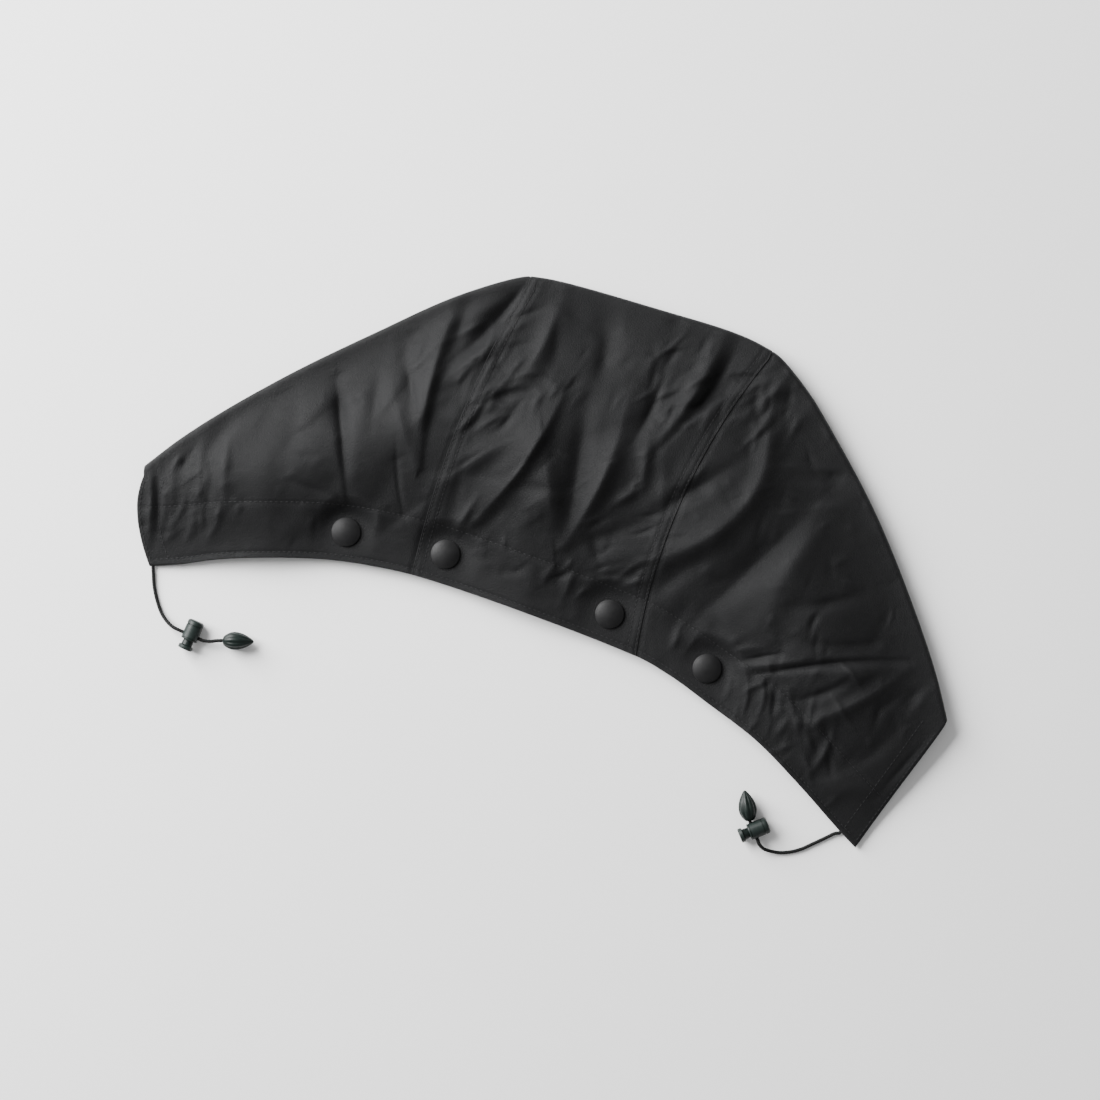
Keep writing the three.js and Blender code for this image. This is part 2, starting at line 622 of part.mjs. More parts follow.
// Where a cord leaves the neck side of the casing, just clear of its end.
function casingExit(inset, end, inwards) {
  const place = line(end + inwards * shareOf(inset, end));
  return place.neck.clone().addScaledVector(place.along, -2 * gap);
}

addCord('left', casingExit(leftExitInset, 0, 1), leftRoute, leftCrossing, -1, leftCordEndAngle);
addCord('right', casingExit(rightExitInset, 1, -1), rightRoute, rightCrossing, 1, rightCordEndAngle);

export default hood;
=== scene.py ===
"""Looks of a detachable jacket hood of waxed cotton, laid flat with its face opening underneath.

Lengths are metres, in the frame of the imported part: +X runs from the hood's left end to its right
end, +Y from the neck edge to the crown fold, and +Z up from the floor.
"""

import math

import bpy
import numpy as np
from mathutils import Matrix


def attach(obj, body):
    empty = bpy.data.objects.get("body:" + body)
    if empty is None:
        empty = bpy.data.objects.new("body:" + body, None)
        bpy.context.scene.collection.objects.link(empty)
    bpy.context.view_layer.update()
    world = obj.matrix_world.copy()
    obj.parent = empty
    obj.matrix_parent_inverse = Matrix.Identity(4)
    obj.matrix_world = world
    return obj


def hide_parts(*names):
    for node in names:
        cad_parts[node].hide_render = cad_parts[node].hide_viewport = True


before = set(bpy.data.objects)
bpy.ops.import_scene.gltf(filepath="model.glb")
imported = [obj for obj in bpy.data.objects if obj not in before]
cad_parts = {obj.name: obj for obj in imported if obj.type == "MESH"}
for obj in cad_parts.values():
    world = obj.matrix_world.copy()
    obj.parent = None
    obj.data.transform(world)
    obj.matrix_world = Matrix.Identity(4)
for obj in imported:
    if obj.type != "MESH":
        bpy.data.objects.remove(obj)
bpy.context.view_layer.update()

# Camera
# The hood is seen from straight above, turned in the picture. The lens is long, so that the
# hood's height hardly shows as perspective.
picture_turn = math.radians(22)
picture_width = 0.660
picture_centre = (-0.0074, -0.0315)
camera_height = 2.2
sensor_width = 36

camera_data = bpy.data.cameras.new("overhead")
camera_data.sensor_width = sensor_width
camera_data.lens = sensor_width * camera_height / picture_width
camera = bpy.data.objects.new("overhead", camera_data)
camera.location = (*picture_centre, camera_height)
camera.rotation_euler = (0, 0, picture_turn)
bpy.context.scene.collection.objects.link(camera)
bpy.context.scene.camera = camera

# Drawcord
# A thin round braided cord runs inside the casing of the face edge. One end comes out at each end
# of the hood, lies on the floor, passes through a cord lock and ends in a cord end. The lines of
# the cloth come first here, because they place the casing's two exits.
hood_width = 0.503
hood_depth = 0.261
hood_loft = 0.016
fold_radius = 0.0055
casing_wall = 0.0032
seat_height = 0.0075
half_width = hood_width / 2
half_depth = hood_depth / 2
cord_diameter = 0.0022
braid_pitch = 0.0034
braid_strands = 4
braid_relief = 0.16
cord_sides = 24
cord_step = 0.00028
left_exit_inset = 0.0020
right_exit_inset = 0.0130
exit_clearance = 0.0006

# How far each cord reaches back into the casing and on into its cord end, which way the cord ends
# point, and how high a cord's middle is on the floor, in a cord lock and in a cord end.
cord_bite = 0.0030
cord_grip = 0.0024
left_cord_end_turn = math.radians(20)
right_cord_end_turn = math.radians(122)
floor_gap = 0.0001
on_floor = cord_diameter / 2 + floor_gap
in_lock = 0.0050
in_cord_end = 0.0055

# Stations across the hood: one line of the cloth a row, from the neck edge over the crown fold to
# the face edge. The X and Y columns are shares of half the width and depth, "bow" of half the
# width and "loft" of the hood's loft. "lift" is 0 on the floor and 1 level with the snaps.
station_columns = ("at", "neck_x", "neck_y", "crown_x", "crown_y", "face_x", "face_y", "bow", "loft", "lift")
stations = np.array([
    (0.00, -0.900, -1.000, -1.000, -0.585, -0.972, -0.650, -0.024, 0.00, 0.00),
    (0.06, -0.834, -0.940, -0.948, -0.415, -0.900, -0.580, -0.020, 0.20, 0.25),
    (0.13, -0.761, -0.860, -0.876, -0.218, -0.800, -0.530, -0.014, 0.42, 1.10),
    (0.21, -0.646, -0.760, -0.760, 0.060, -0.670, -0.480, -0.010, 0.66, 1.75),
    (0.29, -0.498, -0.657, -0.600, 0.400, -0.525, -0.430, -0.014, 0.86, 1.00),
    (0.34, -0.400, -0.612, -0.450, 0.698, -0.420, -0.400, -0.022, 0.96, 1.00),
    (0.37, -0.313, -0.584, -0.315, 0.890, -0.335, -0.370, -0.028, 1.00, 1.00),
    (0.41, -0.231, -0.570, -0.241, 0.920, -0.250, -0.340, -0.032, 1.00, 1.00),
    (0.50, -0.042, -0.552, -0.020, 0.966, -0.030, -0.310, -0.042, 1.00, 1.80),
    (0.59, 0.163, -0.544, 0.203, 1.000, 0.175, -0.290, -0.052, 1.00, 1.00),
    (0.63, 0.255, -0.545, 0.284, 0.986, 0.262, -0.285, -0.054, 1.00, 1.00),
    (0.67, 0.340, -0.567, 0.372, 0.908, 0.345, -0.280, -0.044, 0.97, 1.00),
    (0.73, 0.458, -0.624, 0.512, 0.710, 0.470, -0.275, -0.024, 0.92, 1.00),
    (0.80, 0.585, -0.691, 0.661, 0.465, 0.610, -0.270, -0.012, 0.78, 1.75),
    (0.88, 0.734, -0.817, 0.820, 0.148, 0.755, -0.275, -0.006, 0.52, 1.20),
    (0.95, 0.848, -0.927, 0.933, -0.107, 0.875, -0.290, -0.002, 0.22, 0.40),
    (1.00, 0.911, -0.984, 1.000, -0.287, 0.965, -0.360, 0.000, 0.00, 0.00),
])

# The cord's routes, each from its exit, in metres along X, Y and Z. The last point is at the base
# of the cord end, and the crossing is the row of the point at the middle of the cord lock.
left_route = np.array([
    (0.0000, 0.0000, 0.0016), (0.0016, -0.0034, on_floor + 0.0002), (0.0046, -0.0098, on_floor),
    (0.0102, -0.0182, on_floor), (0.0156, -0.0240, on_floor + 0.0005), (0.0204, -0.0270, on_floor + 0.0020),
    (0.0244, -0.0285, in_lock - 0.0006), (0.0276, -0.0289, in_lock), (0.0306, -0.0290, in_lock),
    (0.0366, -0.0292, in_lock), (0.0426, -0.0294, in_lock), (0.0446, -0.0294, in_lock),
    (0.0486, -0.0283, in_lock + 0.0002), (0.0524, -0.0263, in_cord_end - 0.0001),
    (0.0555, -0.0250, in_cord_end),
])
right_route = np.array([
    (0.0000, 0.0000, 0.0016), (-0.0026, -0.0016, on_floor + 0.0002), (-0.0070, -0.0064, on_floor),
    (-0.0126, -0.0124, on_floor), (-0.0180, -0.0180, on_floor), (-0.0234, -0.0220, on_floor),
    (-0.0290, -0.0246, on_floor + 0.0003), (-0.0344, -0.0258, on_floor + 0.0014),
    (-0.0392, -0.0259, in_lock - 0.0009), (-0.0424, -0.0244, in_lock), (-0.0445, -0.0222, in_lock),
    (-0.0487, -0.0179, in_lock), (-0.0529, -0.0136, in_lock),
])
left_crossing = 9
right_crossing = 11


def cubic(value, rise, start, end, t):
    """A cubic in t, from 0 to 1: up from a value by a rise, with the given slopes at both ends."""
    return value + start * t + (3 * rise - 2 * start - end) * t**2 + (start + end - 2 * rise) * t**3


def station(name, at):
    """Value of a stations column at places along the hood.

    It is a cubic from row to row. Its slope at a row is the harmonic mean of the rises on both
    sides, and 0 where the column turns back, so the curve never swings past the rows.
    """
    column = stations[:, station_columns.index(name)]
    places = stations[:, 0]
    spans = np.diff(places)
    rises = np.diff(column) / spans
    before = np.concatenate((rises[:1], rises))
    after = np.concatenate((rises, rises[-1:]))
    same = before * after > 0
    slopes = np.where(same, 2 * before * after / np.where(same, before + after, 1), 0)
    row = np.clip(np.searchsorted(places, at, side="right") - 1, 0, len(spans) - 1)
    t = (at - places[row]) / spans[row]
    rise = column[row + 1] - column[row]
    start = slopes[row] * spans[row]
    end = slopes[row + 1] * spans[row]
    return cubic(column[row], rise, start, end, t)


def smooth(t):
    """Rises from 0 to 1 as t does, level at both ends: 3 t squared less 2 t cubed."""
    t = np.clip(t, 0, 1)
    return t * t * (3 - 2 * t)


def mix(a, b, share):
    """The value a share of the way from a to b."""
    return a + (b - a) * share


def unit(vectors):
    """The vectors, each divided by its length."""
    return vectors / np.linalg.norm(vectors, axis=-1, keepdims=True)


def cloth_lines(at):
    """Where the lines of cloth at the given places start, turn under and end, in plan."""
    neck = np.stack((station("neck_x", at) * half_width, station("neck_y", at) * half_depth), axis=-1)
    crown = np.stack((station("crown_x", at) * half_width, station("crown_y", at) * half_depth), axis=-1)
    face = np.stack((station("face_x", at) * half_width, station("face_y", at) * half_depth), axis=-1)
    along = unit(crown - neck)
    turn = crown - along * fold_radius
    return {
        "neck": neck,
        "turn": turn,
        "face": face,
        "along": along,
        "back": np.linalg.norm(turn - neck, axis=-1),
        "under": np.linalg.norm(face - turn, axis=-1),
        "bow": station("bow", at) * half_width,
        "fullness": station("loft", at),
        "lift": mix(casing_wall, seat_height, station("lift", at)),
    }


def share_of(distance, at):
    """Share of the hood's length that a distance along the neck edge takes at one place."""
    near = 0.01
    ends = np.array((max(at - near, 0), min(at + near, 1)))
    neck = cloth_lines(ends)["neck"]
    return distance * (ends[1] - ends[0]) / np.linalg.norm(neck[1] - neck[0])


def casing_exit(at):
    """Where a cord leaves the neck side of the casing, and the direction back into it."""
    lines = cloth_lines(np.array(at))
    point = lines["neck"] - lines["along"] * exit_clearance
    return np.append(point, 0), np.append(lines["along"], 0)


def run_of(points):
    """Length along a line of points: 0 at the first, then the sum of the steps up to each."""
    return np.concatenate(([0], np.cumsum(np.linalg.norm(np.diff(points, axis=0), axis=1))))


def read_along(places, run, points):
    """Points at places along a run, on straight lines between the given ones."""
    return np.stack([np.interp(places, run, points[:, k]) for k in range(3)], axis=-1)


def smooth_route(points, step, samples=60):
    """A cubic from point to point whose slopes allow for uneven spacing, read at even steps.

    The spacing of the points in the cubic is the square root of their distance, which keeps the
    curve from looping between near points. A mirrored point is added before and after.
    """
    points = np.vstack((2 * points[0] - points[1], points, 2 * points[-1] - points[-2]))
    gaps = np.sqrt(np.linalg.norm(np.diff(points, axis=0), axis=1))
    before, here, after = gaps[:-2, None], gaps[1:-1, None], gaps[2:, None]
    p0, p1, p2, p3 = points[:-3], points[1:-2], points[2:-1], points[3:]
    start = ((p1 - p0) / before - (p2 - p0) / (before + here) + (p2 - p1) / here) * here
    end = ((p2 - p1) / here - (p3 - p1) / (here + after) + (p3 - p2) / after) * here
    t = np.linspace(0, 1, samples, endpoint=False)[None, :, None]
    fine = cubic(p1[:, None], (p2 - p1)[:, None], start[:, None], end[:, None], t)
    fine = np.vstack((fine.reshape(-1, 3), points[-2]))
    run = run_of(fine)
    places = np.linspace(0, run[-1], int(run[-1] / step) + 1)
    return read_along(places, run, fine), run[-1]


def new_piece(name, vertices, faces, body="hood", uv=None, masks=(), sharp_angle=None):
    """A smooth-shaded object at the origin from arrays, riding on a body.

    "uv" holds two numbers for each vertex and "masks" pairs of an attribute's name and its values.
    """
    mesh = bpy.data.meshes.new(name)
    mesh.from_pydata(vertices, [], faces)
    if uv is not None:
        corners = np.empty(len(mesh.loops), dtype=np.int32)
        mesh.loops.foreach_get("vertex_index", corners)
        layer = mesh.uv_layers.new(name="cloth")
        layer.data.foreach_set("uv", uv[corners].astype(np.float32).ravel())
    for label, values in masks:
        attribute = mesh.attributes.new(label, "FLOAT", "POINT")
        attribute.data.foreach_set("value", values.astype(np.float32).ravel())
    mesh.shade_smooth()
    if sharp_angle is not None:
        mesh.set_sharp_from_angle(angle=math.radians(sharp_angle))
    mesh.validate()
    piece = bpy.data.objects.new(name, mesh)
    bpy.context.scene.collection.objects.link(piece)
    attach(piece, body)
    return piece


def ring_faces(rings, sides):
    """Quads between rings of vertices, each ring closed on itself, facing outwards."""
    ring, side = np.meshgrid(np.arange(rings - 1), np.arange(sides), indexing="ij")
    after = (side + 1) % sides
    here = ring * sides
    quads = np.stack((here + side, here + after, here + sides + after, here + sides + side), axis=-1)
    return quads.reshape(-1, 4).tolist()


def round_angles(sides):
    """Angles of the sides of a ring, evenly spread round it from 0."""
    return np.arange(sides) / sides * 2 * np.pi


def braided_tube(name, path):
    """A round braid along a path.

    Its radius falls off the full one by the relief, where two families of turning strands cross
    as the product of two cosines, one turning each way.
    """
    forward = unit(np.gradient(path, axis=0))
    aside = unit(np.cross((0, 0, 1), forward))
    over = np.cross(forward, aside)
    angle = round_angles(cord_sides)
    run = np.arange(len(path)) * cord_step
    turning = 2 * np.pi * run[:, None] / braid_pitch
    crossing = np.cos(braid_strands * angle + turning) * np.cos(braid_strands * angle - turning)
    radius = cord_diameter / 2 * (1 - braid_relief * (0.5 - 0.5 * crossing))
    spokes = aside[:, None] * np.cos(angle)[None, :, None] + over[:, None] * np.sin(angle)[None, :, None]
    points = path[:, None] + spokes * radius[..., None]
    faces = ring_faces(len(path), cord_sides)
    faces.append(list(range(cord_sides))[::-1])
    faces.append(list(range(len(path) * cord_sides - cord_sides, len(path) * cord_sides)))
    uv = np.stack(np.broadcast_arrays(angle[None] / (2 * np.pi), run[:, None]), axis=-1)
    return new_piece(name, points.reshape(-1, 3), faces, uv=uv.reshape(-1, 2))


def new_group(name, inputs, output_names):
    """A shader node group with its sockets, and its first and last node."""
    group = bpy.data.node_groups.new(name, "ShaderNodeTree")
    for label, kind in inputs:
        group.interface.new_socket(name=label, in_out="INPUT", socket_type=kind)
    for label in output_names:
        group.interface.new_socket(name=label, in_out="OUTPUT", socket_type="NodeSocketFloat")
    return group, group.nodes.new("NodeGroupInput"), group.nodes.new("NodeGroupOutput")


def set_inputs(tree, node, inputs):
    """Links or sets a node's inputs, by name or by number."""
    for label, value in dict(inputs).items():
        if isinstance(value, bpy.types.NodeSocket):
            tree.links.new(value, node.inputs[label])
        else:
            node.inputs[label].default_value = value


def add_node(tree, kind, inputs=(), **settings):
    """A node with its settings made and then its inputs linked or set."""
    node = tree.nodes.new(kind)
    for label, value in settings.items():
        setattr(node, label, value)
    set_inputs(tree, node, inputs)
    return node


def math_node(tree, operation, first, second=0.0):
    """The result of one operation on one or two values."""
    return add_node(tree, "ShaderNodeMath", {0: first, 1: second}, operation=operation).outputs[0]


# Threads that cross over and under each other: the product of two sines, from 0 to 1, with
# "Threads" of them in a metre.
threads_group, threads_in, threads_out = new_group(
    "crossing threads", (("Place", "NodeSocketVector"), ("Threads", "NodeSocketFloat")), ("Height",))
threads_place = add_node(threads_group, "ShaderNodeSeparateXYZ", {0: threads_in.outputs["Place"]})
threads_turn = math_node(threads_group, "MULTIPLY", threads_in.outputs["Threads"], math.pi)
threads_warp = math_node(
    threads_group, "SINE", math_node(threads_group, "MULTIPLY", threads_place.outputs["X"], threads_turn))
threads_weft = math_node(
    threads_group, "SINE", math_node(threads_group, "MULTIPLY", threads_place.outputs["Y"], threads_turn))
threads_both = math_node(threads_group, "MULTIPLY", threads_warp, threads_weft)
threads_height = add_node(threads_group, "ShaderNodeMapRange", {"Value": threads_both, "From Min": -1.0})
threads_group.links.new(threads_height.outputs["Result"], threads_out.inputs["Height"])

# Cloudy variation, from 0 to 1: noise of one size, with its middle spread out.
cloud_group, cloud_in, cloud_out = new_group(
    "cloudy variation", (("Place", "NodeSocketVector"), ("Clouds", "NodeSocketFloat")), ("Mask",))
cloud_noise = add_node(cloud_group, "ShaderNodeTexNoise", {
    "Vector": cloud_in.outputs["Place"],
    "Scale": cloud_in.outputs["Clouds"],
    "Detail": 5.0,
    "Roughness": 0.6,
})
cloud_mask = add_node(
    cloud_group, "ShaderNodeMapRange",
    {"Value": cloud_noise.outputs["Fac"], "From Min": 0.30, "From Max": 0.70})
cloud_group.links.new(cloud_mask.outputs["Result"], cloud_out.inputs["Mask"])


def new_material(name):
    """A material with its tree and its one shader."""
    material = bpy.data.materials.new(name)
    material.use_nodes = True
    return material, material.node_tree, material.node_tree.nodes["Principled BSDF"]


def clouds(tree, place, count):
    """Mask of cloudy variation, with a number of clouds to the metre."""
    inputs = {"Place": place, "Clouds": count}
    return add_node(tree, "ShaderNodeGroup", inputs, node_tree=cloud_group).outputs["Mask"]


def threads(tree, place, count):
    """Height of crossing threads, with a number of threads to the metre."""
    inputs = {"Place": place, "Threads": count}
    return add_node(tree, "ShaderNodeGroup", inputs, node_tree=threads_group).outputs["Height"]


def blended(tree, mask, first, last):
    """Colour from first to last, by a mask. First is a colour or another node's output."""
    first = first if isinstance(first, bpy.types.NodeSocket) else (*first, 1)
    inputs = {"Factor": mask, 6: first, 7: (*last, 1)}
    return add_node(tree, "ShaderNodeMix", inputs, data_type="RGBA").outputs[2]


def ranged(tree, mask, first, last, start=0.0, end=1.0):
    """Value from first to last, as a mask goes from start to end."""
    inputs = {"Value": mask, "From Min": start, "From Max": end, "To Min": first, "To Max": last}
    return add_node(tree, "ShaderNodeMapRange", inputs).outputs["Result"]


def bumped(tree, height, distance, strength, before=None):
    """Normal with a relief of one depth on it, over another relief where one is given."""
    node = add_node(tree, "ShaderNodeBump", {"Height": height, "Distance": distance, "Strength": strength})
    if before is not None:
        tree.links.new(before, node.inputs["Normal"])
    return node.outputs["Normal"]


def mottled(name, count, colours, roughness=None, relief=None, grain=None, worn=None, plain=()):
    """A material whose colour and roughness vary with clouds, so many of them to the metre.

    "relief" is the depth and strength of its bumps, which are the clouds or a finer grain. "worn" is
    the colour of rubbed edges, and the values of Pointiness where it starts and where it is full.
    "plain" are the shader's values that are the same all over.
    """
    material, tree, shader = new_material(name)
    place = add_node(tree, "ShaderNodeTexCoord").outputs["Object"]
    patches = clouds(tree, place, count)
    colour = blended(tree, patches, *colours)
    if worn is not None:
        worn_colour, start, end = worn
        pointiness = add_node(tree, "ShaderNodeNewGeometry").outputs["Pointiness"]
        colour = blended(tree, ranged(tree, pointiness, 0.0, 1.0, start, end), colour, worn_colour)
    set_inputs(tree, shader, {"Base Color": colour})
    if roughness is not None:
        set_inputs(tree, shader, {"Roughness": ranged(tree, patches, *roughness)})
    if relief is not None:
        bumps = patches if grain is None else clouds(tree, place, grain)
        set_inputs(tree, shader, {"Normal": bumped(tree, bumps, *relief)})
    set_inputs(tree, shader, plain)
    return material


cord_material = mottled(
    "black braided cord", 900.0, ((0.002, 0.0022, 0.0022), (0.007, 0.0075, 0.0075)),
    roughness=(0.55, 0.78), relief=(0.00012, 0.6),
    plain={"Sheen Weight": 0.02, "Specular IOR Level": 0.15})

cords = {}
cord_paths = {}
for side, exit_at, route, turn in (
    ("left", share_of(left_exit_inset, 0), left_route, left_cord_end_turn),
    ("right", 1 - share_of(right_exit_inset, 1), right_route, right_cord_end_turn),
):
    exit_point, inwards = casing_exit(exit_at)
    route = exit_point + route
    hidden = route[0] + inwards * cord_bite
    gripped = route[-1] + np.array((math.cos(turn), math.sin(turn), 0)) * cord_grip
    cord_path, cord_length = smooth_route(np.vstack((hidden, route, gripped)), cord_step)
    cord_paths[side] = (route, cord_path, cord_length)
    cords[side] = braided_tube(f"drawcord_braid_{side}", cord_path)
    cords[side].data.materials.append(cord_material)
    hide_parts(f"drawcord_{side}")

# Cord locks
# A cord lock is two mouldings of dark green plastic: a cup, and a sprung plunger with a flange to
# press. The cord passes through a hole across both, and the spring grips it there.
barrel_profile = np.array([
    (-0.00930, 0.0), (-0.00930, 0.0030), (-0.00922, 0.0038), (-0.00895, 0.0044), (-0.00850, 0.0048),
    (-0.00790, 0.0050), (-0.00650, 0.0050), (-0.00635, 0.00475), (-0.00590, 0.00475), (-0.00575, 0.0050),
    (0.00160, 0.0050), (0.00175, 0.00475), (0.00215, 0.00475), (0.00230, 0.0050), (0.00280, 0.0050),
    (0.00303, 0.00485), (0.00310, 0.0046), (0.00310, 0.0039), (0.00295, 0.0036), (-0.00790, 0.0036),
    (-0.00790, 0.0),
])
plunger_profile = np.array([
    (-0.0044, 0.0), (-0.0044, 0.0030), (-0.0041, 0.0033), (0.0062, 0.0033), (0.0065, 0.0035),
    (0.0067, 0.0039), (0.0067, 0.0041), (0.0069, 0.0044), (0.0085, 0.0044), (0.00875, 0.00432),
    (0.0090, 0.0041), (0.0091, 0.0037), (0.0091, 0.0026), (0.00885, 0.0023), (0.00880, 0.0),
])
lock_sides = 64
lock_sharp_angle = 35
cord_hole = 0.0014
hole_sides = 24
hole_reach = 0.012
slot_reach = 0.008
plunger_travel = 0.0030


def spun(profile, sides, place, axis, flutes=None):
    """A profile of distances along an axis and radii, spun round it, with a pole at each end.

    "flutes" gives a factor on the radius for each profile point and angle.
    """
    axis = unit(np.array(axis))
    upright = abs(axis[2]) > 0.5
    aside = unit(np.array((1.0, 0, 0)) if upright else np.cross((0, 0, 1), axis))
    over = np.cross(axis, aside)
    angle = round_angles(sides)
    body = profile[1:-1]
    radius = body[:, 1, None] * (np.ones(sides) if flutes is None else flutes(body[:, 0, None], angle))
    points = (
        np.array(place) + axis * body[:, 0, None, None]
        + aside * (radius * np.cos(angle))[..., None] + over * (radius * np.sin(angle))[..., None]
    ).reshape(-1, 3)
    poles = np.array(place) + axis * profile[[0, -1], 0, None]
    count = len(body) * sides
    side = np.arange(sides)
    after = (side + 1) % sides
    first = np.stack((np.full(sides, count), after, side), axis=1)
    last = np.stack((np.full(sides, count + 1), count - sides + side, count - sides + after), axis=1)
    return np.vstack((points, poles)), ring_faces(len(body), sides) + first.tolist() + last.tolist()


def cut(piece, vertices, faces):
    """Takes a closed shape out of a piece, with the result kept as its mesh."""
    mesh = bpy.data.meshes.new("cutter")
    mesh.from_pydata(vertices, [], faces)
    cutter = bpy.data.objects.new("cutter", mesh)
    bpy.context.scene.collection.objects.link(cutter)
    modifier = piece.modifiers.new("cut", "BOOLEAN")
    modifier.operation = "DIFFERENCE"
    modifier.solver = "EXACT"
    modifier.object = cutter
    bpy.context.view_layer.update()
    done = bpy.data.meshes.new_from_object(piece.evaluated_get(bpy.context.evaluated_depsgraph_get()))
    piece.modifiers.clear()
    piece.data = done
    bpy.data.objects.remove(cutter)
    done.shade_smooth()
    done.set_sharp_from_angle(angle=math.radians(lock_sharp_angle))


lock_material = mottled(
    "dark green moulded plastic", 260.0, ((0.0022, 0.0050, 0.0041), (0.0048, 0.0092, 0.0078)),
    roughness=(0.36, 0.50), relief=(0.00003, 0.35), grain=5200.0,
    worn=((0.022, 0.030, 0.028), 0.52, 0.62), plain={"Specular IOR Level": 0.22})

hole_profile = np.array([
    (-hole_reach, 0), (-hole_reach, cord_hole), (hole_reach, cord_hole), (hole_reach, 0)])
slot_corners = np.array([
    (x, y, z)
    for x in (-cord_hole, plunger_travel + cord_hole)
    for y in (-slot_reach, slot_reach)
    for z in (-cord_hole, cord_hole)
])
slot_faces = [(0, 1, 3, 2), (4, 6, 7, 5), (0, 4, 5, 1), (2, 3, 7, 6), (0, 2, 6, 4), (1, 5, 7, 3)]

for side, crossing, flange_side in (("left", left_crossing, -1), ("right", right_crossing, 1)):
    route = cord_paths[side][0]
    centre = route[crossing]
    through = route[crossing + 1] - route[crossing - 1]
    turn = math.atan2(through[1], through[0]) + flange_side * math.pi / 2
    out = np.array((math.cos(turn), math.sin(turn), 0))
    across = np.array((-out[1], out[0], 0))
    barrel = new_piece(f"cord_lock_cup_{side}", *spun(barrel_profile, lock_sides, centre, out))
    cut(barrel, *spun(hole_profile, hole_sides, centre, across))
    plunger = new_piece(
        f"cord_lock_button_{side}", *spun(plunger_profile, lock_sides, centre, out), body=f"plunger_{side}")
    slot_points = centre + out * slot_corners[:, :1] + across * slot_corners[:, 1:2]
    slot_points[:, 2] += slot_corners[:, 2]
    cut(plunger, slot_points, slot_faces)
    for piece, node in ((barrel, f"cord_lock_barrel_{side}"), (plunger, f"cord_lock_plunger_{side}")):
        piece.data.materials.clear()
        piece.data.materials.append(lock_material)
        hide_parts(node)

# Cord ends
# A cord end is an acorn of dark green plastic, moulded with flutes that run together at its tip.
# The cord's knotted end sits inside it.
cord_end_full = 0.0055
cord_end_length = 0.0184
cord_end_flutes = 9
cord_end_sides = 90
cord_end_sharp_angle = 50
cord_end_clearance = 0.0003
rib_depth = 0.10
rib_rise = 0.25
rib_end = 1.02
rib_fade = 0.15
cord_end_shape = np.array([
    (0.000, 0.00), (0.000, 0.34), (0.012, 0.44), (0.045, 0.56), (0.085, 0.66), (0.135, 0.77), (0.19, 0.86),
    (0.25, 0.94), (0.31, 0.985), (0.37, 1.00), (0.43, 0.995), (0.50, 0.965), (0.57, 0.915), (0.64, 0.84),
    (0.71, 0.74), (0.78, 0.62), (0.85, 0.47), (0.91, 0.34), (0.95, 0.24), (0.98, 0.15), (0.995, 0.08),
    (1.000, 0.00),
]) * (cord_end_length, cord_end_full)


def cord_end_ribs(along, angle):
    """Factor on the radius that leaves nine ribs: 1 less a depth times what the cosine of four and
    a half angles lacks of 1, whatever its sign. The depth is 0 at the base and fades at the tip."""
    share = along / cord_end_length
    depth = rib_depth * smooth(share / rib_rise) * smooth((rib_end - share) / rib_fade)
    return 1 - depth * (1 - np.abs(np.cos(cord_end_flutes / 2 * angle)))


for side, turn in (("left", left_cord_end_turn), ("right", right_cord_end_turn)):
    axis = np.array((math.cos(turn), math.sin(turn), 0))
    tip = cord_paths[side][0][-1].copy()
    tip[2] = in_cord_end
    cord_end = new_piece(
        f"cord_end_acorn_{side}",
        *spun(cord_end_shape, cord_end_sides, tip + axis * cord_end_clearance, axis, flutes=cord_end_ribs),
        sharp_angle=cord_end_sharp_angle)
    cord_end.data.materials.append(lock_material)
    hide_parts(f"cord_end_{side}")

# Cloth panels
# Three panels of black waxed cotton make the hood. The centre panel laps over both side panels
# and is sewn down with two rows of stitches, and the face edge is turned in as a casing.
band_width = 0.033
snap_inset = 0.0174
snaps_at = np.array((0.301, 0.403, 0.594, 0.714))
left_seam_at = 0.37
right_seam_at = 0.63
cloth_wall = 0.0012
rim_roundness = 0.98
seat_radius = 0.0095
seat_blend = 0.0130
cloth_step = 0.00115
fold_squareness = 0.62
picture_pixels = 1100

# The casing is a thicker band along the face edge and at the hood's two ends. Its wall is most of
# the whole casing less a small gap, and it fades where there is little cloth underneath.
casing_width = 0.014
casing_blend = 0.003
casing_gap = 0.0002
casing_fill = 0.96
shortest_casing = 0.03

# The centre panel is thin along its two edges and stands up a little there. Each side panel is
# thinner still where it is tucked under, and steps down at the seam.
lap_wall = 0.0007
lap_rise = 0.00018
lap_width = 0.007
lap_thin_width = 0.004
lap_blend = 0.006
lap_under = 0.0025
lap_sink = 0.00055
tucked_wall = 0.0006
tuck_start = 0.0002
tuck_blend = 0.0010
step_down = 0.0005
step_blend = 0.0035

# Each row of stitches draws the cloth in, least where it only holds the facing.
seam_rows = (0.0012, 0.0060)
edge_stitch = 0.0036
stitch_groove = 0.00028
seam_groove_width = 0.0009
edge_groove_width = 0.0010
facing_groove_width = 0.0011
facing_groove_share = 0.6

# How much of their height the folds keep at the neck edge, the crown fold and the hood's ends, and
# how low they may press the back.
kept_at_neck = 0.34
kept_at_crown = 0.60
kept_at_ends = 0.60
crown_blend = 0.016
full_enough = 0.33
lowest_back = 0.0042
lowest_full = 0.2
lowest_blend = 0.0006

# A fold's height is counted in units of 1.5 mm and its width in millimetres. It is felt some widths
# away, has a share of its height at its two ends already, and a crisp top is still a little round.
# Waxed cloth creases sharply, so each placed fold is made crisper than its row says, up to a limit.
millimetre = 0.001
fold_unit = 0.0015
fold_reach = 2.6
fold_foot = 0.25
crest_round = 0.2
crisper = 0.2
crispest = 0.6

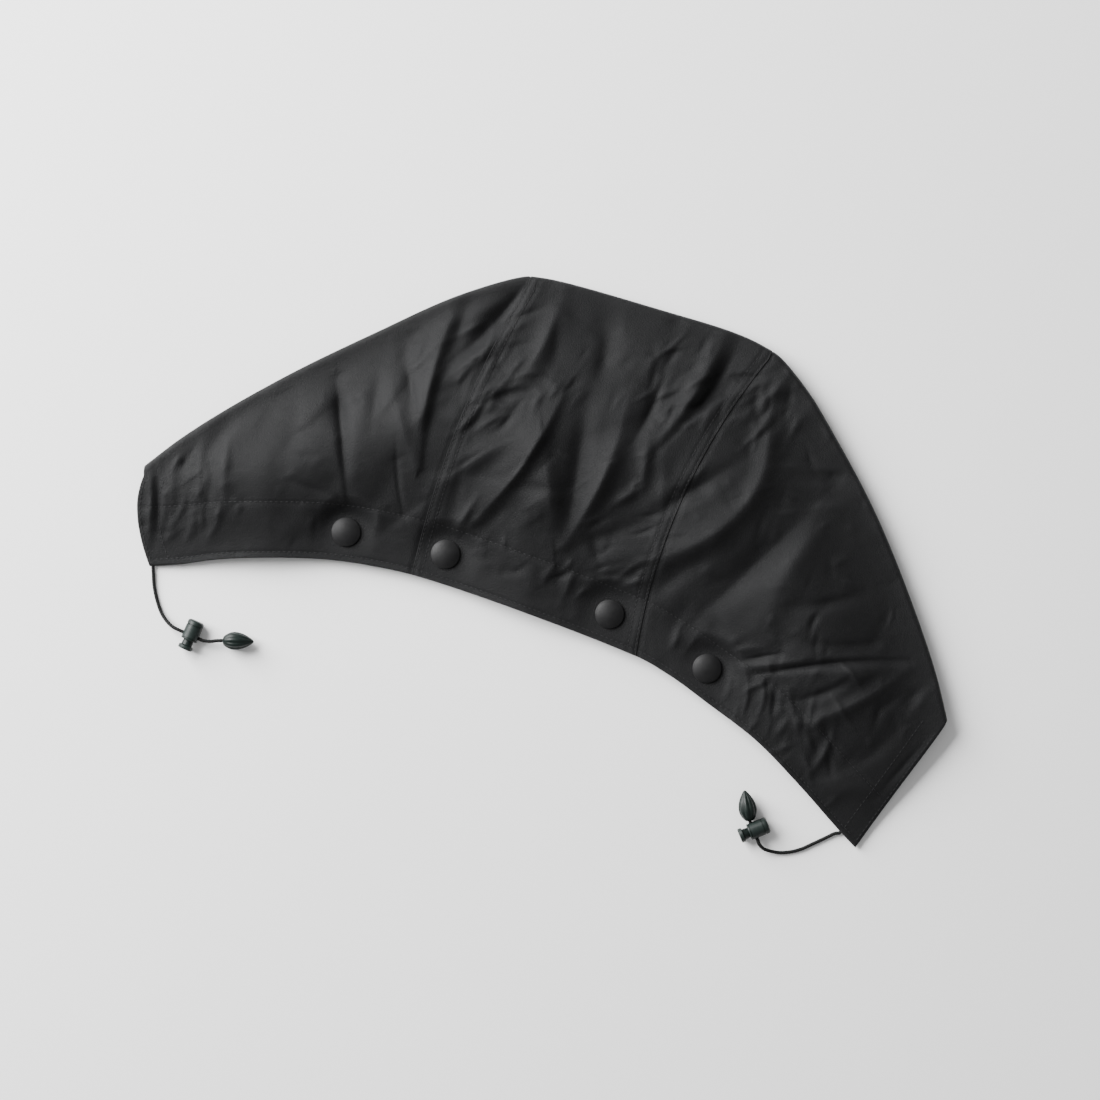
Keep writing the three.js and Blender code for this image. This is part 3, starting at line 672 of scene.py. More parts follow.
# How far the wax is rubbed off crests and the neck edge.
sharp_bend = 0.00012
crest_rub = 0.35
edge_rub = 0.65
edge_rub_width = 0.0012

# Folds of the back. Each row is one fold: where it starts and ends on the picture, how far it
# bows as a share of its length, where it is highest, how its width changes along it, how high it
# is, how wide its shaded and its lit side are, and how crisp its top is.
folds = np.array([
    (151, 464, 147, 550, 0.04, 0.50, 1.0, 1.9, 2.4, 3.0, 0.3),
    (158, 470, 155, 548, 0.05, 0.50, 1.0, -1.5, 2.0, 2.4, 0.3),
    (176, 462, 166, 540, 0.00, 0.50, 1.0, 1.4, 4.0, 5.0, 0.0),
    (190, 455, 184, 470, 0.00, 0.50, 1.0, -0.8, 2.4, 2.6, 0.2),
    (172, 500, 165, 545, 0.00, 0.50, 1.0, -0.7, 2.4, 2.6, 0.2),
    (214, 470, 206, 530, 0.00, 0.50, 1.0, -0.7, 3.0, 3.4, 0.1),
    (300, 400, 286, 470, 0.00, 0.50, 1.0, -0.8, 6.0, 8.0, 0.0),
    (470, 300, 452, 352, 0.00, 0.50, 1.0, -1.0, 5.0, 5.0, 0.1),
    (690, 300, 668, 336, 0.00, 0.50, 1.0, -0.8, 4.0, 5.0, 0.0),
    (560, 300, 552, 372, 0.00, 0.50, 1.0, -1.2, 5.0, 5.0, 0.1),
    (646, 520, 560, 552, 0.00, 0.50, 1.0, -1.0, 5.0, 5.0, 0.1),
    (204, 440, 200, 500, 0.00, 0.50, 1.0, 0.5, 3.0, 3.0, 0.0),
    (229, 440, 226, 492, 0.00, 0.50, 1.0, 0.9, 3.0, 4.0, 0.0),
    (224, 516, 206, 544, 0.00, 0.50, 1.0, 0.5, 2.0, 2.0, 0.0),
    (200, 508, 199, 544, 0.00, 0.50, 1.0, -0.5, 2.0, 2.0, 0.2),
    (268, 400, 248, 440, 0.00, 0.50, 1.0, 0.5, 5.0, 5.0, 0.0),
    (338, 380, 349, 505, 0.00, 0.30, 0.5, -2.6, 8.0, 4.0, 0.4),
    (382, 368, 372, 430, 0.00, 0.50, 0.8, -1.1, 5.0, 5.0, 0.0),
    (390, 380, 418, 480, 0.00, 0.45, 0.7, 1.6, 6.0, 8.0, 0.0),
    (398, 438, 408, 530, -0.04, 0.40, 0.8, -0.7, 2.0, 2.0, 0.4),
    (404, 345, 417, 415, 0.00, 0.60, 0.6, -1.4, 4.0, 5.0, 0.1),
    (460, 296, 420, 468, -0.04, 0.50, 0.4, 3.8, 5.5, 13.0, 0.1),
    (528, 278, 446, 366, 0.06, 0.45, 1.2, -3.4, 4.0, 6.0, 0.5),
    (508, 334, 448, 380, 0.00, 0.50, 1.0, 1.4, 5.0, 3.5, 0.2),
    (566, 282, 512, 392, 0.07, 0.45, 0.8, 2.6, 8.0, 6.0, 0.1),
    (546, 308, 502, 325, 0.00, 0.50, 1.0, -0.8, 2.5, 2.5, 0.2),
    (538, 344, 498, 350, 0.00, 0.50, 1.0, -0.6, 2.5, 2.5, 0.2),
    (516, 370, 497, 386, 0.00, 0.50, 1.0, -0.7, 2.5, 2.5, 0.2),
    (530, 322, 505, 334, 0.00, 0.50, 1.0, 0.5, 2.5, 2.5, 0.0),
    (532, 392, 474, 406, 0.00, 0.40, 1.0, -1.5, 3.0, 3.5, 0.2),
    (528, 396, 502, 428, 0.00, 0.50, 1.0, -1.0, 3.0, 3.0, 0.2),
    (470, 386, 434, 396, 0.00, 0.50, 1.0, -0.8, 4.0, 4.0, 0.0),
    (436, 384, 420, 470, -0.02, 0.50, 1.0, -1.0, 5.0, 3.0, 0.1),
    (562, 396, 466, 528, 0.06, 0.45, 1.0, 4.8, 4.0, 12.0, 0.4),
    (522, 438, 434, 494, -0.06, 0.50, 1.0, 2.2, 6.0, 7.0, 0.1),
    (487, 450, 452, 472, 0.00, 0.50, 1.0, -0.9, 2.5, 2.5, 0.3),
    (478, 496, 452, 538, 0.00, 0.50, 1.0, 1.4, 2.8, 3.0, 0.2),
    (538, 446, 500, 490, 0.00, 0.50, 1.0, -1.3, 4.0, 5.0, 0.1),
    (543, 440, 552, 534, 0.00, 0.60, 1.4, 3.2, 6.0, 14.0, 0.1),
    (588, 396, 568, 532, 0.00, 0.50, 0.8, -2.8, 7.0, 8.0, 0.0),
    (628, 396, 564, 544, 0.06, 0.60, 0.6, 3.6, 8.0, 8.0, 0.2),
    (606, 296, 600, 396, 0.00, 0.50, 1.0, -2.6, 9.0, 9.0, 0.0),
    (668, 336, 636, 386, 0.00, 0.50, 1.0, 0.9, 4.0, 5.0, 0.0),
    (724, 332, 648, 452, 0.06, 0.50, 0.9, 3.4, 6.0, 8.0, 0.2),
    (648, 440, 640, 492, 0.00, 0.50, 1.0, 1.4, 3.5, 4.0, 0.1),
    (642, 486, 608, 508, 0.00, 0.50, 1.0, 1.5, 3.0, 3.5, 0.2),
    (664, 376, 632, 444, 0.03, 0.50, 1.0, -1.8, 3.0, 3.5, 0.4),
    (680, 343, 662, 372, 0.00, 0.50, 1.0, -0.8, 2.5, 2.5, 0.2),
    (740, 338, 656, 452, 0.06, 0.45, 0.7, -2.8, 8.0, 6.0, 0.2),
    (768, 378, 722, 378, 0.00, 0.50, 1.0, -1.0, 2.5, 2.5, 0.2),
    (740, 390, 658, 458, -0.05, 0.50, 1.0, 1.8, 6.0, 4.0, 0.1),
    (792, 370, 764, 402, 0.00, 0.50, 1.0, 1.3, 4.0, 4.0, 0.1),
    (765, 400, 716, 534, 0.15, 0.50, 1.0, 2.8, 7.0, 6.5, 0.1),
    (748, 456, 638, 524, 0.00, 0.60, 1.0, -1.8, 5.0, 6.0, 0.1),
    (748, 498, 620, 562, 0.12, 0.50, 0.8, 2.8, 7.0, 13.0, 0.1),
    (808, 512, 688, 626, 0.00, 0.45, 1.0, -4.0, 9.0, 13.0, 0.2),
    (700, 556, 644, 600, 0.00, 0.50, 1.0, -1.2, 5.0, 6.0, 0.0),
    (818, 520, 742, 648, 0.00, 0.40, 1.0, 1.4, 14.0, 8.0, 0.0),
    (738, 660, 782, 652, 0.00, 0.50, 1.0, -1.2, 2.0, 2.2, 0.4),
    (752, 674, 908, 660, 0.03, 0.30, 1.0, -1.9, 2.4, 2.6, 0.5),
    (735, 668, 800, 660, 0.00, 0.50, 1.0, 0.9, 2.5, 2.5, 0.1),
    (722, 652, 762, 645, 0.00, 0.50, 1.0, 0.7, 2.5, 2.5, 0.1),
    (780, 728, 905, 668, -0.06, 0.50, 1.0, 1.5, 4.5, 5.0, 0.1),
    (792, 700, 846, 680, -0.04, 0.50, 1.0, -1.2, 3.0, 3.5, 0.2),
    (788, 606, 862, 592, -0.05, 0.50, 1.0, -0.9, 4.0, 4.0, 0.1),
    (790, 640, 892, 640, -0.05, 0.60, 1.0, -0.9, 4.0, 5.0, 0.1),
    (905, 690, 868, 716, 0.00, 0.50, 1.0, -0.5, 3.0, 3.0, 0.1),
    (930, 680, 890, 712, 0.00, 0.50, 1.0, -0.5, 3.0, 3.0, 0.1),
    (726, 656, 722, 704, 0.10, 0.50, 1.0, 1.0, 1.8, 2.2, 0.1),
    (744, 672, 738, 720, 0.10, 0.50, 1.0, 1.0, 1.8, 2.2, 0.1),
    (762, 676, 752, 722, 0.10, 0.50, 1.0, 1.2, 2.0, 2.4, 0.1),
    (790, 712, 772, 740, 0.00, 0.50, 1.0, 1.1, 3.0, 3.0, 0.1),
    (832, 722, 800, 780, 0.10, 0.50, 1.0, 1.3, 2.6, 3.0, 0.1),
    (826, 746, 831, 780, 0.00, 0.50, 1.0, -0.9, 2.2, 2.2, 0.2),
    (806, 720, 820, 760, 0.00, 0.50, 1.0, -0.6, 2.5, 2.5, 0.1),
    (838, 792, 820, 812, 0.00, 0.50, 1.0, 0.6, 2.0, 2.0, 0.1),
    (930, 732, 872, 800, 0.00, 0.50, 1.0, -0.8, 2.2, 2.2, 0.2),
    (652, 560, 616, 580, -0.10, 0.50, 1.0, 0.8, 1.8, 2.0, 0.1),
    (650, 580, 618, 590, -0.10, 0.50, 1.0, 0.6, 1.6, 1.8, 0.1),
    (576, 566, 561, 602, 0.00, 0.50, 1.0, 1.0, 2.5, 2.5, 0.1),
    (592, 538, 600, 566, 0.00, 0.50, 1.0, -1.3, 3.0, 3.5, 0.3),
    (680, 624, 671, 652, 0.00, 0.50, 1.0, 0.9, 2.2, 2.5, 0.1),
    (697, 636, 684, 652, 0.00, 0.50, 1.0, 0.7, 2.0, 2.0, 0.1),
    (505, 534, 503, 552, 0.00, 0.50, 1.0, 0.6, 2.0, 2.0, 0.1),
    (380, 505, 372, 550, 0.00, 0.50, 1.0, 0.5, 2.5, 2.5, 0.1),
    (318, 508, 316, 548, 0.00, 0.50, 1.0, -0.6, 3.0, 3.0, 0.1),
    (290, 480, 342, 498, 0.00, 0.50, 1.0, -0.6, 3.0, 3.0, 0.2),
])


def on_floor_plan(x, y):
    """Place on the floor of a place on the picture: scaled, turned and moved."""
    scale = picture_width / picture_pixels
    right = (x - picture_pixels / 2) * scale
    up = (picture_pixels / 2 - y) * scale
    cos, sin = math.cos(picture_turn), math.sin(picture_turn)
    return picture_centre[0] + right * cos - up * sin, picture_centre[1] + right * sin + up * cos


def random_folds(draws, count, long, wide, high, middle=None, around=None, lean=-1.95):
    """Folds like the placed ones, at random, lying roughly down the hood or along a lean.

    They are spread over the whole hood, or around one place of the picture. "long" is the range of
    their lengths in metres, and "wide" and "high" those of their widths and heights.
    """
    if middle is None:
        across = draws.uniform(-half_width, half_width, count)
        up = draws.uniform(-half_depth, half_depth, count)
        turning = 0.6
    else:
        place = on_floor_plan(*middle)
        across = draws.normal(place[0], around, count)
        up = draws.normal(place[1], around, count)
        turning = 0.4
    angle = draws.normal(lean, turning, count)
    length = draws.uniform(*long, count)
    bow = draws.normal(0, 0.06, count)
    peak = draws.uniform(0.35, 0.65, count)
    taper = draws.uniform(0.6, 1.4, count)
    rise = draws.uniform(*high, count) * draws.choice((-1, 1), count)
    left = draws.uniform(*wide, count)
    right = draws.uniform(*wide, count)
    end_across = across + np.cos(angle) * length
    end_up = up + np.sin(angle) * length
    crisp = np.zeros(count)
    return np.stack((across, up, end_across, end_up, bow, peak, taper, rise, left, right, crisp), axis=1)


# The placed folds, long and short ones all over, and crumples round six places of the picture.
placed_folds = folds.copy()
placed_folds[:, 0], placed_folds[:, 1] = on_floor_plan(folds[:, 0], folds[:, 1])
placed_folds[:, 2], placed_folds[:, 3] = on_floor_plan(folds[:, 2], folds[:, 3])
placed_folds[:, 10] = np.maximum(folds[:, 10], np.minimum(folds[:, 10] + crisper, crispest))
draws = np.random.default_rng(11)
all_folds = np.vstack((
    placed_folds,
    random_folds(draws, 150, (0.022, 0.070), (3.5, 9.0), (0.25, 0.85)),
    random_folds(draws, 420, (0.006, 0.022), (1.5, 3.6), (0.10, 0.34)),
    random_folds(draws, 46, (0.009, 0.026), (1.3, 2.6), (0.30, 0.75), (775, 700), 0.024, -1.25),
    random_folds(draws, 34, (0.010, 0.028), (1.5, 3.0), (0.30, 0.80), (500, 370), 0.018, -2.10),
    random_folds(draws, 26, (0.010, 0.028), (1.5, 3.0), (0.30, 0.70), (690, 370), 0.020, -2.20),
    random_folds(draws, 22, (0.010, 0.026), (1.5, 3.0), (0.30, 0.70), (775, 400), 0.014, -1.70),
    random_folds(draws, 26, (0.008, 0.022), (1.4, 2.6), (0.25, 0.55), (190, 500), 0.018, -1.75),
    random_folds(draws, 30, (0.008, 0.022), (1.4, 2.6), (0.25, 0.60), (600, 560), 0.024, -2.30),
))


def bell(distance, width):
    """A bell curve: e to minus the square of the distance in widths, from 1 to nearly 0."""
    return np.exp(-(distance / width) ** 2)


def fold_height(x, y):
    """Height that the folds add. Across a fold it is a bell curve, wider on one side than on the
    other, or a sharper crest, and along it the fold swells from both ends."""
    height = np.zeros_like(x)
    for from_x, from_y, to_x, to_y, bow, peak, taper, rise, left, right, crisp in all_folds:
        length = math.hypot(to_x - from_x, to_y - from_y)
        reach = fold_reach * max(left, right) * millimetre + abs(bow) * length
        near = (
            (x > min(from_x, to_x) - reach) & (x < max(from_x, to_x) + reach)
            & (y > min(from_y, to_y) - reach) & (y < max(from_y, to_y) + reach))
        if not near.any():
            continue
        cos, sin = (to_x - from_x) / length, (to_y - from_y) / length
        ahead = (x[near] - from_x) * cos + (y[near] - from_y) * sin
        aside = (y[near] - from_y) * cos - (x[near] - from_x) * sin
        share = np.clip(ahead / length, 0, 1)
        aside = aside - bow * length * 4 * share * (1 - share)
        wide = np.where(aside > 0, left, right) * millimetre * mix(1, taper, share)
        across = np.hypot(aside, ahead - share * length) / wide
        swell = mix(fold_foot, 1, np.minimum(smooth(share / peak), smooth((1 - share) / (1 - peak))))
        crest = np.exp(crest_round - np.sqrt(2 * across**2 + crest_round**2))
        height[near] += rise * fold_unit * swell * mix(bell(across, 1), crest, crisp)
    return height


def back_plan(lines, distance):
    """Plan of the back at distances from the neck edge: straight lines with a parabola's bow."""
    share = distance / lines["back"]
    x = mix(lines["neck"][..., 0], lines["turn"][..., 0], share) + lines["bow"] * 4 * share * (1 - share)
    y = mix(lines["neck"][..., 1], lines["turn"][..., 1], share)
    return x, y


snap_lines = cloth_lines(snaps_at)
snap_places = np.stack(back_plan(snap_lines, snap_inset), axis=1)


def seam_distance(x, y, distance, seam_at):
    """Distance in plan from points to the seam's point that is as far from the neck edge."""
    seam = cloth_lines(np.array(seam_at))
    seam_x, seam_y = back_plan(seam, np.minimum(distance, seam["back"]))
    return np.hypot(x - seam_x, y - seam_y)


def back_surface(at, distance):
    """The outer face of the back, at places along the hood and distances from the neck edge.

    It rises from the neck edge to the crown fold with an arch and the folds on top. It is level
    round each snap, steps down where a side panel runs under the centre panel, and is drawn in
    along the rows of stitches.
    """
    lines = cloth_lines(at)
    x, y = back_plan(lines, distance)
    share = np.clip(distance / lines["back"], 0, 1)
    slope = mix(lines["lift"], 2 * fold_radius, smooth(share))
    arch = lines["fullness"] * hood_loft * np.sin(np.pi * share) ** 2
    by_neck = mix(kept_at_neck, 1, smooth(distance / band_width))
    by_crown = mix(kept_at_crown, 1, smooth((lines["back"] - distance) / crown_blend))
    by_ends = mix(kept_at_ends, 1, smooth(lines["fullness"] / full_enough))
    height = slope + arch + fold_height(x, y) * by_neck * by_crown * by_ends
    for seam_at in (left_seam_at, right_seam_at):
        away = seam_distance(x, y, distance, seam_at)
        tucked = (at < seam_at) if seam_at == left_seam_at else (at > seam_at)
        lapped = lap_rise * (1 - smooth((away - lap_width) / lap_blend))
        for row in seam_rows:
            lapped = lapped - stitch_groove * bell(away - row, seam_groove_width)
        sunk = -step_down * (1 - smooth(away / step_blend))
        height = height + np.where(tucked, sunk, lapped)
    facing_groove = stitch_groove * facing_groove_share
    height = height - stitch_groove * bell(distance - edge_stitch, edge_groove_width)
    height = height - facing_groove * bell(distance - band_width, facing_groove_width)
    lowest = mix(casing_wall, lowest_back, smooth(lines["fullness"] / lowest_full))
    height = lowest + np.logaddexp(0, (height - lowest) / lowest_blend) * lowest_blend
    for snap_x, snap_y in snap_places:
        near = 1 - smooth((np.hypot(x - snap_x, y - snap_y) - seat_radius) / seat_blend)
        height = mix(height, seat_height, near)
    return np.stack((x, y, height), axis=-1)


def spread(start, end, step, close=(0.00012, 0.00032, 0.0006, 0.0010, 0.0016), margin=0.0024):
    """Places from start to end, about one step apart and closer within a margin of both ends."""
    middle = np.linspace(start + margin, end - margin, int((end - start - 2 * margin) / step) + 1)
    return np.concatenate(([start], start + np.array(close), middle, end - np.array(close[::-1]), [end]))


# Length along the middle of the back, at many places from the hood's left end to its right end.
fine_count = 2001
middle_share = 0.55
fine_at = np.linspace(0, 1, fine_count)
fine_lines = cloth_lines(fine_at)
fine_run = run_of(mix(fine_lines["neck"], fine_lines["turn"], middle_share))


def columns_between(first, last):
    """Places along the hood from one to another, evenly spread in length."""
    start, end = np.interp((first, last), fine_at, fine_run)
    return np.interp(spread(start, end, cloth_step), fine_run, fine_at)


# Distances of the cloth's first rows from the neck edge, close at the edge and at the facing's
# stitches, and shares of the way under the hood, close at the face edge.
band_rows = np.concatenate((
    (0, 0.00012, 0.00032, 0.0006, 0.0010, 0.0016, 0.0022, 0.0028, 0.0032, 0.0036, 0.0040, 0.0045),
    np.linspace(0.0055, 0.0310, 23), (0.0318, 0.0325, 0.0330, 0.0335, 0.0342, 0.0352)))[:, None]
under_rows = np.concatenate((
    np.linspace(0, 0.9, 22)[1:], (0.92, 0.94, 0.955, 0.97, 0.98, 0.988, 0.994, 0.998, 1)))[:, None]
turn_rows = 26


def cloth_rows(at):
    """The outer face of a panel as a grid, from the neck edge round the crown fold to the face
    edge, and how much of the casing's thickness it has there.

    The fold is half a squared ellipse, as high as the back's last row. Under it the cloth lies on
    the floor, and the last of it is the casing.
    """
    lines = cloth_lines(at)
    back_rows = int((lines["back"].max() - band_rows[-1, 0]) / cloth_step)
    shares = np.linspace(0, 1, back_rows + 1)[1:, None]
    distance = np.vstack((
        np.broadcast_to(band_rows, (len(band_rows), len(at))), mix(band_rows[-1], lines["back"], shares)))
    back = back_surface(np.broadcast_to(at, distance.shape), distance)
    angle = np.pi * (0.5 - np.linspace(0, 1, turn_rows + 1)[1:, None])
    reach = fold_radius * np.abs(np.cos(angle)) ** fold_squareness
    climb = np.sign(np.sin(angle)) * np.abs(np.sin(angle)) ** fold_squareness
    turn_plan = lines["turn"] + lines["along"] * reach[..., None]
    turn_height = back[-1, :, 2] / 2 * (1 + climb)
    turn = np.concatenate((turn_plan, turn_height[..., None]), axis=-1)
    under_plan = mix(lines["turn"], lines["face"], under_rows[..., None])
    under = np.concatenate((under_plan, np.zeros((*under_plan.shape[:2], 1))), axis=-1)
    outer = np.concatenate((back, turn, under))
    to_face = np.ones(outer.shape[:2])
    to_face[-len(under):] = (1 - under_rows) * lines["under"]
    casing = 1 - smooth((to_face - casing_width) / casing_blend)
    return outer, casing * smooth(lines["under"] / shortest_casing)


def normals_of(points):
    """Unit normals of a grid of points, on the side that faces up on the back."""
    normals = np.cross(np.gradient(points, axis=1), np.gradient(points, axis=0))
    return normals / np.maximum(np.linalg.norm(normals, axis=-1, keepdims=True), 1e-12)


def edge_distances(points):
    """Distance over the grid from each point to the four edges: left, right, first and last row."""
    across = np.cumsum(np.linalg.norm(np.diff(points, axis=1, prepend=points[:, :1]), axis=-1), axis=1)
    up = np.cumsum(np.linalg.norm(np.diff(points, axis=0, prepend=points[:1]), axis=-1), axis=0)
    return across, across[:, -1:] - across, up, up[-1:] - up


def cloth_wall_piece(name, outer, inner, uv, masks):
    """A closed wall between two grids, with a rim of quads round it."""
    rows, columns = outer.shape[:2]
    front = np.arange(rows * columns).reshape(rows, columns)
    back = front + rows * columns
    outside = np.stack((front[:-1, :-1], front[:-1, 1:], front[1:, 1:], front[1:, :-1]), axis=-1)
    inside = np.stack((back[:-1, :-1], back[1:, :-1], back[1:, 1:], back[:-1, 1:]), axis=-1)
    loop = np.concatenate((front[0, :-1], front[:-1, -1], front[-1, :0:-1], front[:0:-1, 0]))
    after = np.roll(loop, -1)
    rim = np.stack((after, loop, loop + rows * columns, after + rows * columns), axis=-1)
    faces = np.vstack((outside.reshape(-1, 4), inside.reshape(-1, 4), rim)).tolist()
    points = np.vstack((outer.reshape(-1, 3), inner.reshape(-1, 3)))
    both = [(label, np.tile(values.ravel(), 2)) for label, values in masks]
    return new_piece(name, points, faces, uv=np.tile(uv.reshape(-1, 2), (2, 1)), masks=both)


def rounded(distance, wall):
    """How far a face is drawn in near a rim, which makes the rim nearly a half circle."""
    radius = wall / 2 * rim_roundness
    inside = radius - np.minimum(distance, radius)
    return radius - np.sqrt(np.maximum(radius**2 - inside**2, 0))


cloth_material, cloth_tree, cloth_shader = new_material("black waxed cotton")
cloth_place = add_node(cloth_tree, "ShaderNodeUVMap", uv_map="cloth").outputs["UV"]
cloth_object = add_node(cloth_tree, "ShaderNodeTexCoord").outputs["Object"]
cloth_weave = threads(cloth_tree, cloth_place, 2300.0)
cloth_bloom = clouds(cloth_tree, cloth_object, 26.0)
cloth_specks = clouds(cloth_tree, cloth_object, 1300.0)
cloth_creases = clouds(cloth_tree, cloth_object, 240.0)
cloth_rub = add_node(cloth_tree, "ShaderNodeAttribute", attribute_name="rub").outputs["Fac"]
cloth_waxed = blended(cloth_tree, cloth_bloom, (0.0020, 0.0021, 0.0024), (0.0040, 0.0041, 0.0045))
cloth_rubbed = math_node(cloth_tree, "MULTIPLY", cloth_rub, cloth_specks)
cloth_normal = bumped(cloth_tree, cloth_creases, 0.00022, 0.25)
cloth_normal = bumped(cloth_tree, cloth_specks, 0.00020, 0.90, cloth_normal)
cloth_normal = bumped(cloth_tree, cloth_weave, 0.00009, 0.70, cloth_normal)
set_inputs(cloth_tree, cloth_shader, {
    "Base Color": blended(cloth_tree, cloth_rubbed, cloth_waxed, (0.014, 0.014, 0.015)),
    "Roughness": math_node(
        cloth_tree, "ADD", ranged(cloth_tree, cloth_bloom, 0.50, 0.59),
        ranged(cloth_tree, cloth_specks, 0.0, 0.14)),
    "Normal": cloth_normal,
    "Specular IOR Level": 0.165,
    "Sheen Weight": 0.02,
    "Sheen Roughness": 0.5,
})

left_lap = share_of(lap_under, left_seam_at)
right_lap = share_of(lap_under, right_seam_at)
panels = {}
for name, first, last in (
    ("left_side", 0.0, left_seam_at + left_lap),
    ("centre", left_seam_at, right_seam_at),
    ("right_side", right_seam_at - right_lap, 1.0),
):
    outer, casing = cloth_rows(columns_between(first, last))
    to_left, to_right, to_neck, to_face = edge_distances(outer)
    normals = normals_of(outer)
    wall = np.full(casing.shape, cloth_wall)
    if name == "centre":
        wall = mix(lap_wall, wall, smooth((np.minimum(to_left, to_right) - lap_thin_width) / lap_blend))
    else:
        to_end, to_seam = (to_left, to_right) if name == "left_side" else (to_right, to_left)
        casing = np.maximum(casing, 1 - smooth((to_end - casing_width) / casing_blend))
        wall = mix(tucked_wall, wall, smooth((to_seam - lap_under - lap_thin_width) / lap_blend))
        sink = lap_sink * (1 - smooth((to_seam - lap_under + tuck_start) / tuck_blend))
        outer = outer - normals * sink[..., None]
    wall = mix(wall, casing_wall - casing_gap, casing * casing_fill)
    drawn = rounded(np.minimum.reduce((to_left, to_right, to_neck, to_face)), wall)
    skin = outer - normals * drawn[..., None]
    lining = outer - normals * (wall - drawn)[..., None]
    bend = sum(np.gradient(np.gradient(outer[..., 2], axis=way), axis=way) for way in (0, 1))
    rub = crest_rub * np.clip(-bend / sharp_bend, 0, 1) + edge_rub * bell(to_neck, edge_rub_width)
    uv = np.stack((to_left, to_neck), axis=-1)
    panels[name] = cloth_wall_piece(f"{name}_cloth", skin, lining, uv, [("rub", rub)])
    panels[name].data.materials.append(cloth_material)
    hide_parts(f"{name}_panel")

# Neck facing
# A strip of plainer cotton, sewn inside the neck edge, backs the snaps. It lies just under the
# panels and follows them.
facing_gap = 0.0003
facing_wall = 0.0009
facing_ends = 0.017
facing_inset = 0.0004
facing_step = 0.0016

facing_material = mottled(
    "black cotton facing", 90.0, ((0.005, 0.005, 0.0056), (0.011, 0.011, 0.012)),
    roughness=(0.70, 0.86), plain={"Sheen Weight": 0.10})
facing_tree = facing_material.node_tree
facing_place = add_node(facing_tree, "ShaderNodeUVMap", uv_map="cloth").outputs["UV"]
facing_weave = threads(facing_tree, facing_place, 1700.0)
set_inputs(
    facing_tree, facing_tree.nodes["Principled BSDF"],
    {"Normal": bumped(facing_tree, facing_weave, 0.00010, 0.6)})

facing_at = columns_between(share_of(facing_ends, 0), 1 - share_of(facing_ends, 1))[::2]
facing_top = back_surface(*np.meshgrid(facing_at, spread(facing_inset, band_width, facing_step)))
facing_normals = normals_of(facing_top)
facing_edges = edge_distances(facing_top)
facing_drawn = rounded(np.minimum.reduce(facing_edges), facing_wall)[..., None]
facing_depth = cloth_wall + facing_gap + lap_sink
facing = cloth_wall_piece(
    "neck_facing", facing_top - facing_normals * (facing_depth + facing_drawn),
    facing_top - facing_normals * (facing_depth + facing_wall - facing_drawn),
    np.stack((facing_edges[0], facing_edges[2]), axis=-1), [])
facing.data.materials.append(facing_material)
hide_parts("neck_band")

# Stitching
# Black polyester thread in lock stitches: two rows down each seam, one along the neck edge, one
# that holds the facing, and two along each end's casing.
stitch_length = 0.0023
stitch_spacing = 0.0031
first_stitch = 0.0005
thread_radius = 0.00019
thread_sides = 6
casing_rows = (0.0022, 0.0132)
row_start = 0.015
row_points = 900
line_points = 400

# A stitch at five places along it: the place as a share of its length, and how far its middle is
# above the cloth and how thick it is, as shares of the thread's radius.
stitch_shares = np.array((0.0, 0.12, 0.5, 0.88, 1.0))
stitch_lifts = np.array((-0.9, 0.25, 0.65, 0.25, -0.9))
stitch_thickness = np.array((0.45, 0.92, 1.0, 0.92, 0.45))

thread_material = mottled(
    "black polyester thread", 700.0, ((0.006, 0.006, 0.0066), (0.016, 0.016, 0.017)),
    roughness=(0.55, 0.75), relief=(0.00006, 0.5), plain={"Specular IOR Level": 0.25})


def stitch_row(at, distance, before, probe_along=0.0005, probe_down=0.0002):
    """Vertices and faces of a row of stitches on the back, after a number of other vertices.

    A stitch is a thread with rounded ends that bows up from where it goes through the cloth, along
    the cross product of two short steps on the surface.
    """
    points = back_surface(at, distance)
    beside = back_surface(at + probe_along, distance) - points
    ahead = back_surface(at, distance + probe_down) - points
    run = run_of(points)
    starts = np.arange(first_stitch, run[-1] - stitch_length, stitch_spacing)
    places = starts[:, None] + stitch_shares * stitch_length
    raised = read_along(places, run, unit(np.cross(beside, ahead)))
    middle = read_along(places, run, points) + raised * (stitch_lifts * thread_radius)[:, None]
    forward = unit(middle[:, -1:] - middle[:, :1])
    aside = np.cross(raised, np.broadcast_to(forward, raised.shape))
    angle = round_angles(thread_sides)
    around = aside[..., None, :] * np.cos(angle)[:, None] + raised[..., None, :] * np.sin(angle)[:, None]
    vertices = middle[..., None, :] + around * (stitch_thickness * thread_radius)[:, None, None]
    rings = len(stitch_shares)
    one = np.array(ring_faces(rings, thread_sides))
    first = before + np.arange(len(starts))[:, None, None] * rings * thread_sides
    sides = (one + first).reshape(-1, 4).tolist()
    start_caps = (np.arange(thread_sides)[::-1] + first[:, 0]).tolist()
    end_caps = (np.arange(thread_sides) + (rings - 1) * thread_sides + first[:, 0]).tolist()
    return vertices.reshape(-1, 3), sides + start_caps + end_caps


def beside_line(at, offset, distance, probe=0.002):
    """Places along the hood that are an offset in plan from one line of the cloth."""
    near = back_surface(np.full_like(distance, at), distance)[:, :2]
    step = probe if at < 0.5 else -probe
    aside = np.linalg.norm(back_surface(np.full_like(distance, at + step), distance)[:, :2] - near, axis=1)
    return at + offset * probe / aside


def stitched(name, rows):
    """A piece of several rows of stitches."""
    vertices = np.empty((0, 3))
    faces = []
    for at, distance in rows:
        points, row_faces = stitch_row(at, distance, len(vertices))
        vertices = np.vstack((vertices, points))
        faces += row_faces
    piece = new_piece(name, vertices, faces)
    piece.data.materials.append(thread_material)
    return piece


